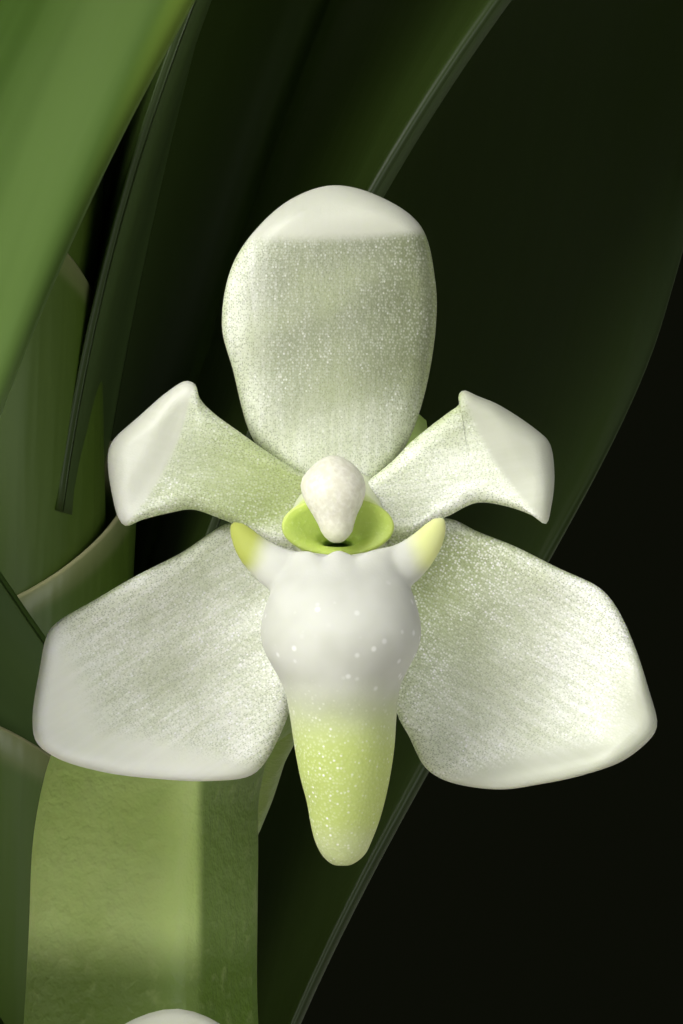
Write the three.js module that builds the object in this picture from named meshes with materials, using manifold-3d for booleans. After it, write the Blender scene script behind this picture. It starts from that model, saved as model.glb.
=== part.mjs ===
// A potted tuberolabium orchid: a small leafy stem in two ranks, rooted in bark in a plain clay pot,
// with one hanging raceme of waxy white blooms and one young raceme still in bud.
// Millimetres, +Z up. The origin is the middle of the pot's underside, and the raceme hangs on the -Y side.
import * as THREE from "three";
import { mergeVertices } from "three/addons/utils/BufferGeometryUtils.js";
import Module from "manifold-3d";

const wasm = await Module();
wasm.setup();

// Driving dimensions
const CLEARANCE = 0.3; // air left between two pieces that touch
const POT = {
  height: 58,
  baseRadius: 23,
  shoulderZ: 43,
  shoulderRadius: 29.5,
  rimRadius: 34,
  rimLip: 1.2,
  wall: 3.6,
  floor: 5,
  sides: 32,
};
const DRAIN = { count: 4, radius: 3, ringRadius: 12 };
const BARK = { fillZ: 47.5, topZ: 56, chips: 27, seed: 7 };
const CHIP = { length: [9, 14], width: [6, 8.5], thickness: [3, 4.6] };
const CROWN = { x: -0.5, y: 3, bottomZ: 40, topZ: 56, radius: 4.4 };
const STEM = { nodes: 8, firstZ: 62, spacing: 6, topSize: 0.74 };
const FAN = { degrees: -30, along: 3.7, across: 2.7 };
const LEAF = {
  edge: 0.75,
  midrib: 1.7,
  baseHalfWidth: 4.1,
  mouthRise: 3.4,
  mouthReach: 1.6,
  lobeStep: 3.4,
  lobeDepth: 6,
  baseFold: 46,
  endFold: 13,
};
const FRONT_BLOOM = [6, -52, 96];
const BLOOM = { stalk: 5.3, backY: 0.95, blade: 0.6, tip: 0.85 };
const BLOOMS = { count: 10, firstDrop: 13, firstTurn: 5, step: 3.95, tilt: 6, smallest: 0.86 };
const BUDS = { count: 9, step: 1.75, longest: 3.4, shortest: 1.5 };
const YOUNG_BUDS = { count: 8, longest: 2.6, shortest: 1.4 };
const GOLDEN_ANGLE = 137.5;

const vec = (x, y, z) => new THREE.Vector3(x, y, z);
const up = vec(0, 0, 1);
const { degToRad } = THREE.MathUtils;
const mix = (a, b, t) => a + (b - a) * t;
const smooth = (t) => THREE.MathUtils.smoothstep(t, 0, 1);

// A level direction: 0 degrees faces the front, and a positive angle turns it to the right
const fan = (degrees) => vec(Math.sin(degToRad(degrees)), -Math.cos(degToRad(degrees)), 0);

// A repeatable random number from 0 to 1
function randomFrom(seed) {
  let state = seed;
  return () => {
    state = (state + 0x6d2b79f5) | 0;
    let t = Math.imul(state ^ (state >>> 15), 1 | state);
    t = (t + Math.imul(t ^ (t >>> 7), 61 | t)) ^ t;
    return ((t ^ (t >>> 14)) >>> 0) / 4294967296;
  };
}

// Solids from geometry and back
function solidFromArrays(positions, triangles) {
  const vertProperties = new Float32Array(positions);
  const make = (order) =>
    new wasm.Manifold(new wasm.Mesh({ numProp: 3, vertProperties, triVerts: new Uint32Array(order) }));
  const solid = make(triangles);
  return solid.volume() < 0 ? make([...triangles].reverse()) : solid;
}

function solidOf(geometry, matrix = new THREE.Matrix4()) {
  const bare = new THREE.BufferGeometry();
  bare.setAttribute("position", geometry.getAttribute("position").clone());
  if (geometry.index) bare.setIndex(geometry.index.clone());
  const merged = mergeVertices(bare.applyMatrix4(matrix), 1e-4);
  return solidFromArrays(merged.attributes.position.array, merged.index.array);
}

const join = (solids) => solids.reduce((whole, next) => whole.add(next));

function largestBody(solid) {
  return solid.decompose().reduce((best, next) => (next.volume() > best.volume() ? next : best));
}

function meshOf(name, solid, material) {
  const { vertProperties, triVerts, numProp } = solid.getMesh();
  const positions = new Float32Array((vertProperties.length / numProp) * 3);
  for (let i = 0; i < positions.length / 3; i++)
    positions.set(vertProperties.subarray(i * numProp, i * numProp + 3), i * 3);
  const geometry = new THREE.BufferGeometry()
    .setAttribute("position", new THREE.BufferAttribute(positions, 3))
    .setIndex(new THREE.BufferAttribute(triVerts, 1));
  geometry.computeVertexNormals();
  const mesh = new THREE.Mesh(geometry, material);
  mesh.name = name;
  return mesh;
}

// A solid turned about the upright axis from pairs of radius and height
function turnedSolid(profile, sides) {
  const points = profile.map(([radius, z]) => new THREE.Vector2(radius, z));
  return solidOf(new THREE.LatheGeometry(points, sides), new THREE.Matrix4().makeRotationX(Math.PI / 2));
}

// Joins rings with equal point counts into one closed skin. Each end closes on its own middle,
// or, for a flat blade whose ring runs out along one face and back along the other, edge to edge.
function skin(rings, bladeEnds = false) {
  const sides = rings[0].length;
  const positions = rings.flat().flatMap((p) => [p.x, p.y, p.z]);
  const triangles = [];
  for (let r = 0; r + 1 < rings.length; r++)
    for (let i = 0; i < sides; i++) {
      const a = r * sides + i;
      const b = r * sides + ((i + 1) % sides);
      triangles.push(a, b, a + sides, b, b + sides, a + sides);
    }
  const last = (rings.length - 1) * sides;
  if (bladeEnds)
    for (let i = 0; i + 1 < sides / 2; i++) {
      const [j, k] = [sides - 1 - i, sides - 2 - i];
      triangles.push(i + 1, i, j, i + 1, j, k);
      triangles.push(last + i, last + i + 1, last + k, last + i, last + k, last + j);
    }
  else
    [0, last].forEach((start) => {
      const middle = rings[start / sides].reduce((sum, p) => sum.add(p), vec(0, 0, 0)).divideScalar(sides);
      positions.push(middle.x, middle.y, middle.z);
      const pole = positions.length / 3 - 1;
      for (let i = 0; i < sides; i++) {
        const [a, b] = [start + i, start + ((i + 1) % sides)];
        triangles.push(...(start === 0 ? [b, a, pole] : [a, b, pole]));
      }
    });
  return solidFromArrays(positions, triangles);
}

// A stem, root or stalk along a route, with its radius at each share of the way
const curveThrough = (route) => {
  const points = route.map((p) => vec(...p));
  return new THREE.CatmullRomCurve3(points, false, "centripetal");
};

function shaft(route, radiusAt, sides, steps, ridge = 0) {
  const curve = curveThrough(route);
  const { normals, binormals } = curve.computeFrenetFrames(steps, false);
  const rings = normals.map((normal, step) => {
    const share = step / steps;
    const centre = curve.getPointAt(share);
    return Array.from({ length: sides }, (_, i) => {
      const turn = (i / sides) * 2 * Math.PI;
      const radius = radiusAt(share) * (1 + (i % 2 ? ridge : -ridge));
      return centre
        .clone()
        .addScaledVector(normal, radius * Math.cos(turn))
        .addScaledVector(binormals[step], radius * Math.sin(turn));
    });
  });
  return skin(rings);
}

// An upright or slanting ring: an ellipse round a centre, along two directions
function ellipse(centre, along, across, sides) {
  return Array.from({ length: sides }, (_, i) => {
    const turn = (i / sides) * 2 * Math.PI;
    const point = centre.clone().addScaledVector(along, Math.cos(turn));
    return point.addScaledVector(across, Math.sin(turn));
  });
}

// Materials
const finish = (color, roughness) => new THREE.MeshStandardMaterial({ color, roughness, metalness: 0 });
const clay = finish(0xb5673f, 0.9);
const barkBrown = finish(0x6b4a33, 0.95);
const velamen = finish(0xb9bfa8, 0.8);
const sheathGreen = finish(0x7f9a4c, 0.6);
const leafGreen = finish(0x3f6a2a, 0.4);
const rachisGreen = finish(0x9ab35c, 0.5);
const petalWhite = finish(0xe6ead8, 0.45);
const lipWhite = finish(0xdfe6b8, 0.4);

// Pot: one turned clay wall with a thick rim band, and drain holes round a solid middle
function potInnerRadius(z) {
  return mix(POT.baseRadius, POT.shoulderRadius, Math.min(z / POT.shoulderZ, 1)) - POT.wall;
}

function makePot() {
  const mouth = potInnerRadius(POT.shoulderZ);
  let pot = turnedSolid(
    [
      [0, 0],
      [POT.baseRadius, 0],
      [POT.shoulderRadius, POT.shoulderZ],
      [POT.rimRadius - 1, POT.shoulderZ],
      [POT.rimRadius, POT.height - POT.rimLip],
      [POT.rimRadius - POT.rimLip, POT.height],
      [mouth + POT.rimLip, POT.height],
      [mouth, POT.height - POT.rimLip],
      [mouth, POT.shoulderZ],
      [potInnerRadius(POT.floor), POT.floor],
      [0, POT.floor],
    ],
    POT.sides,
  );
  const hole = shaft([[0, 0, -1], [0, 0, POT.floor + 1]], () => DRAIN.radius, 16, 1);
  for (let i = 0; i < DRAIN.count; i++) {
    const turn = (i / DRAIN.count) * 2 * Math.PI;
    const [x, y] = [DRAIN.ringRadius * Math.cos(turn), DRAIN.ringRadius * Math.sin(turn)];
    pot = pot.subtract(hole.translate(x, y, 0));
  }
  return pot;
}

// Roots: a short woody crown with thick velamen roots that creep over the bark, one over the rim
const ROOTS = [
  {
    radius: 1.6,
    route: [
      [1, 1, 52], [9, -6, 55.5], [18, -14, 59.5], [25, -19.8, 61.2],
      [29.4, -23.4, 59.6], [30.4, -24.4, 53], [29.6, -24, 44], [27, -22, 33],
    ],
  },
  {
    radius: 1.3,
    route: [
      [2, 4, 54], [9, 5, 58.5], [17, 4, 61], [25, 1, 62],
      [31, -1, 61.2], [36.2, -2.6, 57.6], [37.4, -4, 50], [36.6, -5, 42],
    ],
  },
  {
    radius: 1.5,
    route: [[-1, 4, 53], [-8, 8, 56], [-15, 11.5, 56], [-19.5, 12.5, 52], [-19.5, 12.5, 47], [-17, 12, 43]],
  },
  {
    radius: 1.7,
    route: [[0, 5, 51], [5, 12, 55], [7, 18.5, 55], [3.5, 22, 51], [-3, 21, 47], [-7, 18, 43]],
  },
  {
    radius: 1.4,
    route: [
      [-2, 1, 52], [-7, -6, 56], [-12.5, -12.5, 56.5],
      [-15.5, -15.5, 53], [-15, -15.5, 47], [-13, -15, 43],
    ],
  },
];

function makeRoots(extra) {
  const { x, y, bottomZ, topZ, radius } = CROWN;
  const crown = shaft(
    [[x, y, bottomZ - extra], [x, y, mix(bottomZ, topZ, 0.6)], [x, y, topZ + extra]],
    (share) => radius * (1 - 0.12 * share) + extra,
    12,
    4,
  );
  const roots = ROOTS.map(({ radius: thick, route }) =>
    shaft(route, (share) => thick * mix(1, 0.72, smooth((share - 0.8) / 0.2)) + extra, 6, 10),
  );
  return join([crown, ...roots]);
}

// Bark: the packed fill with a layer of chips on top, hollowed where the roots and crown pass
function makeBark() {
  const random = randomFrom(BARK.seed);
  const between = ([low, high]) => mix(low, high, random());
  const radiusAt = (z) => potInnerRadius(z) - CLEARANCE - 0.15;
  const fillTo = (top) =>
    turnedSolid(
      [
        [0, POT.floor + CLEARANCE],
        [radiusAt(POT.floor), POT.floor + CLEARANCE],
        [radiusAt(POT.shoulderZ), POT.shoulderZ],
        [radiusAt(POT.shoulderZ), top],
        [0, top],
      ],
      24,
    );
  const chips = Array.from({ length: BARK.chips }, (_, i) => {
    const box = new THREE.BoxGeometry(between(CHIP.length), between(CHIP.width), between(CHIP.thickness));
    const chip = mergeVertices(box.deleteAttribute("normal").deleteAttribute("uv"));
    const corners = chip.getAttribute("position").array;
    corners.forEach((value, k) => (corners[k] = value * between([0.72, 1.12])));
    const tilt = new THREE.Euler(between([-0.35, 0.35]), between([-0.35, 0.35]), between([0, Math.PI]));
    const distance = (radiusAt(POT.shoulderZ) - 2) * Math.sqrt((i + 0.5) / BARK.chips);
    const place = fan(i * GOLDEN_ANGLE).multiplyScalar(distance).setZ(BARK.fillZ + between([-0.3, 2.2]));
    const turned = new THREE.Quaternion().setFromEuler(tilt);
    return solidOf(chip, new THREE.Matrix4().compose(place, turned, vec(1, 1, 1)));
  });
  const packed = join([fillTo(BARK.fillZ), ...chips]).intersect(fillTo(BARK.topZ));
  return largestBody(packed.subtract(makeRoots(CLEARANCE + 0.05)));
}

// Stem: overlapping leaf sheaths in two ranks on one flattened axis
const stemAxis = (z) => vec(CROWN.x - 0.025 * (z - CROWN.topZ), CROWN.y - 0.015 * (z - CROWN.topZ), z);
const nodeZ = (node) => STEM.firstZ + node * STEM.spacing;
const rank = (node) => (node % 2 ? -1 : 1);
const nodeSize = (node) => mix(1, STEM.topSize, node / (STEM.nodes - 1));

function makeStem(extra) {
  const along = fan(FAN.degrees);
  const across = vec(-along.y, along.x, 0);
  const levels = [
    { z: -7, wide: 0.8, rise: 0 },
    { z: -2, wide: 0.98, rise: 0.6 },
    { z: 3.4, wide: 1.08, rise: 2 },
  ];
  const sheaths = Array.from({ length: STEM.nodes }, (_, node) => {
    const size = nodeSize(node);
    const side = along.clone().multiplyScalar(rank(node));
    const rings = levels.map(({ z, wide, rise }) => {
      const height = Math.max(nodeZ(node) + z, CROWN.topZ + CLEARANCE) + (rise > 1 ? extra : 0);
      const centre = stemAxis(height).addScaledVector(side, 0.35 * rise * size);
      const long = side.clone().multiplyScalar(FAN.along * wide * size + extra).addScaledVector(up, rise);
      const short = across.clone().multiplyScalar(FAN.across * wide * size + extra);
      return ellipse(centre, long, short, 10);
    });
    return skin(rings);
  });
  return join(sheaths);
}

// Leaves: strap blades, folded along the midrib near the sheath and opening out, with two uneven lobes
// at the tip. Turn, rise, bend and sweep are degrees: off the fan, at the base, lost on the way, sideways.
const LEAVES = [
  { node: 0, turn: -22, length: 62, halfWidth: 9.4, rise: 34, bend: 62, sweep: 0 },
  { node: 1, turn: 16, length: 76, halfWidth: 12, rise: 76, bend: 48, sweep: 0 },
  { node: 2, turn: -6, length: 80, halfWidth: 10.2, rise: 46, bend: 82, sweep: -8 },
  { node: 3, turn: -2, length: 84, halfWidth: 10.4, rise: 80, bend: 66, sweep: 0 },
  { node: 4, turn: -20, length: 82, halfWidth: 10.2, rise: 48, bend: 82, sweep: 0 },
  { node: 5, turn: -8, length: 76, halfWidth: 10, rise: 78, bend: 44, sweep: 0 },
  { node: 6, turn: 32, length: 72, halfWidth: 10.5, rise: 44, bend: 108, sweep: -22 },
  { node: 7, turn: 8, length: 38, halfWidth: 6, rise: 80, bend: 16, sweep: 0 },
];
const BLADE_COLUMNS = [-1, -0.7, -0.35, 0, 0.35, 0.7, 1];
const BLADE_ROWS = 8;

// The midrib as points and frames: it rises inside the sheath's mouth and arches over under its own weight
function leafSpine({ node, turn, length, rise, bend, sweep }) {
  const mouth = fan(FAN.degrees).multiplyScalar(rank(node));
  const point = stemAxis(nodeZ(node) + LEAF.mouthRise);
  point.addScaledVector(mouth, LEAF.mouthReach * nodeSize(node));
  const steps = 60;
  const spine = [];
  for (let i = 0; i <= steps; i++) {
    const share = i / steps;
    const angle = degToRad(rise - bend * Math.pow(share, 0.8));
    const heading = fan(FAN.degrees + turn + sweep * share).multiplyScalar(rank(node));
    const tangent = heading.clone().multiplyScalar(Math.cos(angle)).addScaledVector(up, Math.sin(angle));
    const across = vec(-heading.y, heading.x, 0);
    spine.push({ point: point.clone(), across, normal: tangent.clone().cross(across) });
    point.addScaledVector(tangent, length / steps);
  }
  return (share) => {
    const at = THREE.MathUtils.clamp(share, 0, 1) * steps;
    const low = Math.min(Math.floor(at), steps - 1);
    return { ...spine[low], point: spine[low].point.clone().lerp(spine[low + 1].point, at - low) };
  };
}

function bladeHalfWidth({ node, halfWidth }, share) {
  const widening = mix(LEAF.baseHalfWidth * nodeSize(node), halfWidth, smooth(share / 0.4));
  return widening * (1 - 0.14 * smooth((share - 0.55) / 0.45));
}

const stemHollow = makeStem(CLEARANCE + 0.08);

function makeLeaf(leaf) {
  const at = leafSpine(leaf);
  const reach = (side) => {
    const lobe = (Math.abs(side) - 0.42) / 0.66;
    const round = LEAF.lobeDepth * (1 - Math.sqrt(Math.max(0, 1 - lobe * lobe)));
    return 1 - (round + LEAF.lobeStep * smooth(-side / 0.3)) / leaf.length;
  };
  const rings = Array.from({ length: BLADE_ROWS + 1 }, (_, row) => {
    const upper = BLADE_COLUMNS.map((side) => {
      const share = (row / BLADE_ROWS) * reach(side);
      const { point, across, normal } = at(share);
      const half = bladeHalfWidth(leaf, share);
      const fold = degToRad(mix(LEAF.baseFold, LEAF.endFold, smooth(share / 0.5)));
      const lift = Math.pow(Math.abs(side), 1.25) * half;
      const top = point
        .addScaledVector(across, side * half * Math.cos(fold))
        .addScaledVector(normal, lift * Math.sin(fold));
      const thick = mix(LEAF.midrib, LEAF.edge, Math.pow(Math.abs(side), 0.7));
      return { top, under: top.clone().addScaledVector(normal, -thick) };
    });
    return [...upper.map((p) => p.top), ...upper.map((p) => p.under).reverse()];
  });
  return largestBody(skin(rings, true).subtract(stemHollow));
}

// Hanging raceme: a thick ridged rachis with the bloom stalks and the unopened buds at its end
const frontBloomCentre = vec(...FRONT_BLOOM);
const RACHIS_ROUTE = [
  [0.5, -2.3, 83],
  [2, -8, 86.6],
  [4.2, -19, 92],
  [5.9, -31, 95.8],
  [6.3, -41, 96.7],
  [6.1, -44.8, 95.5],
  [4.9, -47.3, 93.8],
  [3.6, -47.8, 92.8],
  [2.85, -47.6, 91.2],
  [2.65, -47.4, 88.5],
  [2.6, -47.3, 84],
  [2.6, -47.2, 76],
  [2.4, -47.4, 64],
  [2.2, -47.8, 50],
  [2, -48.2, 35],
];
const rachis = curveThrough(RACHIS_ROUTE);
const RACHIS = { stalkRadius: 1.2, thickRadius: 1.75, endRadius: 0.6, thickFrom: 0.42, thinFrom: 0.72 };
const rachisRadius = (share) =>
  mix(RACHIS.stalkRadius, RACHIS.thickRadius, smooth((share - RACHIS.thickFrom) / 0.1)) *
  mix(1, RACHIS.endRadius / RACHIS.thickRadius, smooth((share - RACHIS.thinFrom) / (1 - RACHIS.thinFrom)));

// The share of the rachis at which it passes a height on its way down
function rachisShareAt(z) {
  let [low, high] = [0.5, 1];
  for (let i = 0; i < 30; i++) {
    const middle = (low + high) / 2;
    if (rachis.getPointAt(middle).z > z) low = middle;
    else high = middle;
  }
  return low;
}

const outward = (degrees, tilt) =>
  fan(degrees).multiplyScalar(Math.cos(degToRad(tilt))).addScaledVector(up, Math.sin(degToRad(tilt)));

// The bloom at the bend faces the front, and the ones below it wind round the rachis
const firstZ = frontBloomCentre.z - BLOOMS.firstDrop;
const frontPlace = {
  name: "bloom_01",
  centre: frontBloomCentre,
  turn: 0,
  tilt: 0,
  roll: 0,
  size: 1,
  mirrored: false,
  share: rachisShareAt(frontBloomCentre.z - 2.2),
};
const bloomPlaces = [
  frontPlace,
  ...Array.from({ length: BLOOMS.count }, (_, i) => {
    const turn = BLOOMS.firstTurn + i * GOLDEN_ANGLE;
    const share = rachisShareAt(firstZ - i * BLOOMS.step);
    const size = mix(1, BLOOMS.smallest, smooth((i - 3) / (BLOOMS.count - 3)));
    const tilt = BLOOMS.tilt * Math.sin(i * 2.1) - 4;
    const distance = rachisRadius(share) + BLOOM.stalk * size;
    return {
      name: `bloom_${String(i + 2).padStart(2, "0")}`,
      centre: rachis.getPointAt(share).addScaledVector(outward(turn, tilt), distance),
      turn,
      tilt,
      roll: 7 * Math.sin(i * 1.7),
      size,
      mirrored: i % 2 === 0,
      share,
    };
  }),
];

// A bud: a blunt egg of the given length on a short stalk
function makeBud(start, direction, stalk, length, sides) {
  const at = (distance) => start.clone().addScaledVector(direction, distance).toArray();
  const swelling = (share) => Math.sin(smooth((share - 0.25) / 0.65) * Math.PI * 0.86);
  const radiusAt = (share) => mix(0.42, length * 0.36, swelling(share));
  return shaft([at(0), at(stalk), at(stalk + length)], radiusAt, sides, 4);
}

function makeRaceme() {
  const axis = shaft(RACHIS_ROUTE, rachisRadius, 8, 28, 0.07);
  const stalks = bloomPlaces.map((place) => {
    const back = outward(place.turn, place.tilt).negate();
    const end = place.centre.clone().addScaledVector(back, BLOOM.backY * place.size + CLEARANCE);
    const neck = end.clone().addScaledVector(back, 1.1);
    const start = rachis.getPointAt(place.share);
    const route = [start, neck, end].map((point) => point.toArray());
    return shaft(route, (share) => mix(0.45, 0.6, share) * place.size, 5, 2);
  });
  const buds = Array.from({ length: BUDS.count }, (_, i) => {
    const progress = i / (BUDS.count - 1);
    const start = rachis.getPointAt(rachisShareAt(firstZ - BLOOMS.count * BLOOMS.step - i * BUDS.step));
    const direction = outward(20 + i * GOLDEN_ANGLE, mix(-5, -38, progress));
    const length = mix(BUDS.longest, BUDS.shortest, progress);
    return makeBud(start, direction, mix(2.6, 1.1, progress), length, 6);
  });
  return join([axis, ...stalks, ...buds]);
}

// Young raceme: a short rising spike of closed buds from a lower axil
const YOUNG_ROUTE = [[-4.5, 5, 69], [-7, 9, 72.5], [-10.5, 12.5, 78], [-14, 14.6, 85], [-16, 15.8, 92]];

function makeYoungRaceme() {
  const curve = curveThrough(YOUNG_ROUTE);
  const buds = Array.from({ length: YOUNG_BUDS.count }, (_, i) => {
    const progress = i / (YOUNG_BUDS.count - 1);
    const share = mix(0.52, 1, progress);
    const direction = outward(i * GOLDEN_ANGLE, mix(42, 60, progress));
    const length = mix(YOUNG_BUDS.longest, YOUNG_BUDS.shortest, progress);
    return makeBud(curve.getPointAt(share), direction, 1.1, length, 5);
  });
  return join([shaft(YOUNG_ROUTE, (share) => mix(1.25, 0.6, share), 6, 7), ...buds]);
}

// Bloom parts, in the bloom's own frame: x to the right, y away from the viewer, z up, from its middle.
// Each outline is seen from the front. The depth follows the share of the way from root to tip, to the power
// of the lean. Past the fold line the fleshy tip bends forwards, or backwards where the slope is negative.
const TEPALS = {
  dorsalSepal: {
    centre: [-0.15, 2.9],
    root: { at: [0, 0.1], y: 0.1 },
    tip: { at: [0, 5.2], y: -1.1 },
    lean: 2,
    dish: -0.3,
    fold: { from: [-1.9, 4.3], to: [1.7, 4.42], slope: -0.72, soft: 0.2 },
    outline: [
      [-0.5, 0.13], [-1.05, 0.57], [-1.45, 1.08], [-1.75, 2.17], [-1.93, 2.9], [-1.76, 3.88], [-1.28, 4.58],
      [-0.72, 5.03], [-0.07, 5.23], [0.67, 5.05], [1.37, 4.55], [1.62, 3.63], [1.63, 2.87], [1.45, 1.78],
      [1.18, 1], [0.87, 0.53], [0.5, 0.13],
    ],
  },
  leftPetal: {
    centre: [-2.3, 0.65],
    root: { at: [-0.5, 0], y: -0.2 },
    tip: { at: [-3.8, 0.7], y: -0.75 },
    lean: 1,
    dish: 0.1,
    fold: { from: [-3.5, -0.43], to: [-2.42, 1.72], slope: -0.5, soft: 0.1 },
    outline: [
      [-0.36, 0.3], [-0.7, 0.5], [-1.2, 0.82], [-1.62, 1.12], [-2.07, 1.45], [-2.29, 1.68], [-2.37, 1.92],
      [-2.52, 1.98], [-2.82, 1.81], [-3.3, 1.4], [-3.75, 0.98], [-3.83, 0.73], [-3.75, 0.07],
      [-3.63, -0.33], [-3.52, -0.43], [-3.25, -0.33], [-2.77, -0.21], [-2.42, -0.16], [-1.93, -0.32],
      [-1.38, -0.55], [-0.83, -0.78], [-0.38, -0.58],
    ],
  },
  rightPetal: {
    centre: [2.2, 0.55],
    root: { at: [0.5, 0], y: -0.2 },
    tip: { at: [3.6, 0.5], y: -0.7 },
    lean: 1,
    dish: 0.1,
    fold: { from: [2.06, 1.72], to: [3.42, -0.42], slope: -0.42, soft: 0.2 },
    outline: [
      [0.36, 0.2], [0.55, 0.36], [0.75, 0.52], [0.93, 0.67], [1.2, 0.95], [1.5, 1.2], [1.83, 1.45],
      [2.02, 1.6], [2, 1.73], [2.08, 1.82], [2.32, 1.73], [2.68, 1.58], [3.3, 1.17], [3.52, 0.95],
      [3.6, 0.43], [3.55, -0.08], [3.45, -0.4], [3.25, -0.27], [2.77, -0.1], [2.3, -0.05], [1.83, -0.27],
      [1.37, -0.47], [0.97, -0.67], [0.45, -0.5],
    ],
  },
  leftSepal: {
    centre: [-2.6, -2.8],
    root: { at: [-0.5, -0.9], y: 0.22 },
    tip: { at: [-5.05, -3.8], y: -0.25 },
    lean: 1,
    dish: 0.5,
    fold: { from: [-3.4, -4.9], to: [-4.75, -1.7], slope: 0.45, soft: 0.7 },
    outline: [
      [-0.63, -0.5], [-1.27, -0.37], [-1.8, -0.37], [-2.6, -0.87], [-3.38, -1.27], [-4.1, -1.69],
      [-4.63, -2], [-4.82, -2.2], [-4.97, -2.87], [-5.07, -3.67], [-5, -4.02], [-4.67, -4.28],
      [-3.87, -4.53], [-2.92, -4.65], [-2.13, -4.68], [-1.47, -4.6], [-1.23, -4.4], [-0.9, -3.77],
      [-0.78, -3.42], [-0.63, -2.67], [-0.43, -1.67], [-0.22, -0.83],
    ],
  },
  rightSepal: {
    centre: [2.9, -2.8],
    root: { at: [0.5, -0.9], y: 0.22 },
    tip: { at: [5.3, -3.75], y: -0.2 },
    lean: 1,
    dish: 0.5,
    fold: { from: [5.1, -1.9], to: [3.9, -5], slope: -0.2, soft: 0.8 },
    outline: [
      [0.2, -0.83], [0.78, -0.42], [1.37, -0.3], [1.9, -0.32], [2.32, -0.52], [2.95, -0.77],
      [3.65, -1.12], [4.37, -1.47], [4.63, -1.77], [4.92, -2.37], [5.17, -3.13], [5.32, -3.73],
      [5.25, -3.92], [4.78, -4.32], [4.1, -4.57], [3.37, -4.73], [2.67, -4.82], [1.8, -4.68],
      [1.45, -4.45], [1.18, -3.93], [1, -3.6],
      [0.83, -2.67], [0.57, -1.67],
    ],
  },
};

const FRONT = { corners: 14, faces: [0.35, 0.88], columnSides: 10, lipSides: 14, hornSides: 6, every: 1 };
const FAR = { corners: 7, faces: [0.55], columnSides: 6, lipSides: 7, hornSides: 3, every: 2 };

// How far a point lies past a fold line, on the tip's side
function pastFold({ from, to }, x, z) {
  const [dx, dz] = [to[0] - from[0], to[1] - from[1]];
  return (dx * (z - from[1]) - dz * (x - from[0])) / Math.hypot(dx, dz);
}

function tepalDepth(tepal, x, z, rho) {
  const { root, tip, lean, dish, fold } = tepal;
  const [ax, az] = [tip.at[0] - root.at[0], tip.at[1] - root.at[1]];
  const along = ((x - root.at[0]) * ax + (z - root.at[1]) * az) / (ax * ax + az * az);
  const past = Math.max(0, pastFold(fold, x, z));
  const bent = past < fold.soft ? (past * past) / (2 * fold.soft) : past - fold.soft / 2;
  const way = Math.pow(Math.max(0, along), lean);
  return mix(root.y, tip.y, way) + dish * (1 - rho * rho) - fold.slope * bent;
}

// The outline with only its most telling corners kept
function cornersOf(outline, count) {
  const corners = [...outline];
  const bend = (i) => {
    const [a, b, c] = [-1, 0, 1].map((step) => corners[(i + step + corners.length) % corners.length]);
    return Math.abs((b[0] - a[0]) * (c[1] - a[1]) - (c[0] - a[0]) * (b[1] - a[1]));
  };
  while (corners.length > count) {
    const flattest = corners.reduce((best, _, i) => (bend(i) < bend(best) ? i : best), 0);
    corners.splice(flattest, 1);
  }
  return corners;
}

function makeTepal(tepal, detail) {
  const outline = cornersOf(tepal.outline, detail.corners);
  const ring = (rho, face) =>
    outline.map(([ox, oz]) => {
      const x = mix(tepal.centre[0], ox, rho);
      const z = mix(tepal.centre[1], oz, rho);
      const half = mix(BLOOM.blade, BLOOM.tip, smooth(pastFold(tepal.fold, x, z) / 0.5)) / 2;
      return vec(x, tepalDepth(tepal, x, z, rho) + face * half, z);
    });
  return skin([
    ...detail.faces.map((rho) => ring(rho, -1)),
    ring(1, -0.45),
    ring(1, 0.45),
    ...detail.faces.toReversed().map((rho) => ring(rho, 1)),
  ]);
}

// Column: the short pillar that holds everything, flared to a cup in front, with the anther cap over it
const COLUMN_LEVELS = [
  { y: BLOOM.backY, z: 0, halfWidth: 0.58, halfHeight: 0.58 },
  { y: 0.3, z: -0.2, halfWidth: 1, halfHeight: 1.05 },
  { y: -0.7, z: -0.4, halfWidth: 0.74, halfHeight: 0.8 },
  { y: -1.3, z: -0.38, halfWidth: 0.93, halfHeight: 0.46 },
];
const CAP_LEVELS = [
  { z: 0.66, half: 0.22 },
  { z: 0.45, half: 0.45 },
  { z: 0.2, half: 0.54 },
  { z: -0.1, half: 0.46 },
  { z: -0.38, half: 0.3 },
  { z: -0.64, half: 0.14 },
];

function makeColumn({ columnSides, every }) {
  const pillar = COLUMN_LEVELS.map(({ y, z, halfWidth, halfHeight }) =>
    ellipse(vec(0, y, z), vec(halfWidth, 0, 0), vec(0, 0, halfHeight), columnSides),
  );
  const cap = CAP_LEVELS.filter((_, i) => i % every === 0).map(({ z, half }) =>
    ellipse(vec(-0.06, -1.52 + 0.16 * z, z), vec(half, 0, 0), vec(0, half * 0.9, 0), columnSides),
  );
  return join([skin(pillar), skin(cap)]);
}

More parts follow.
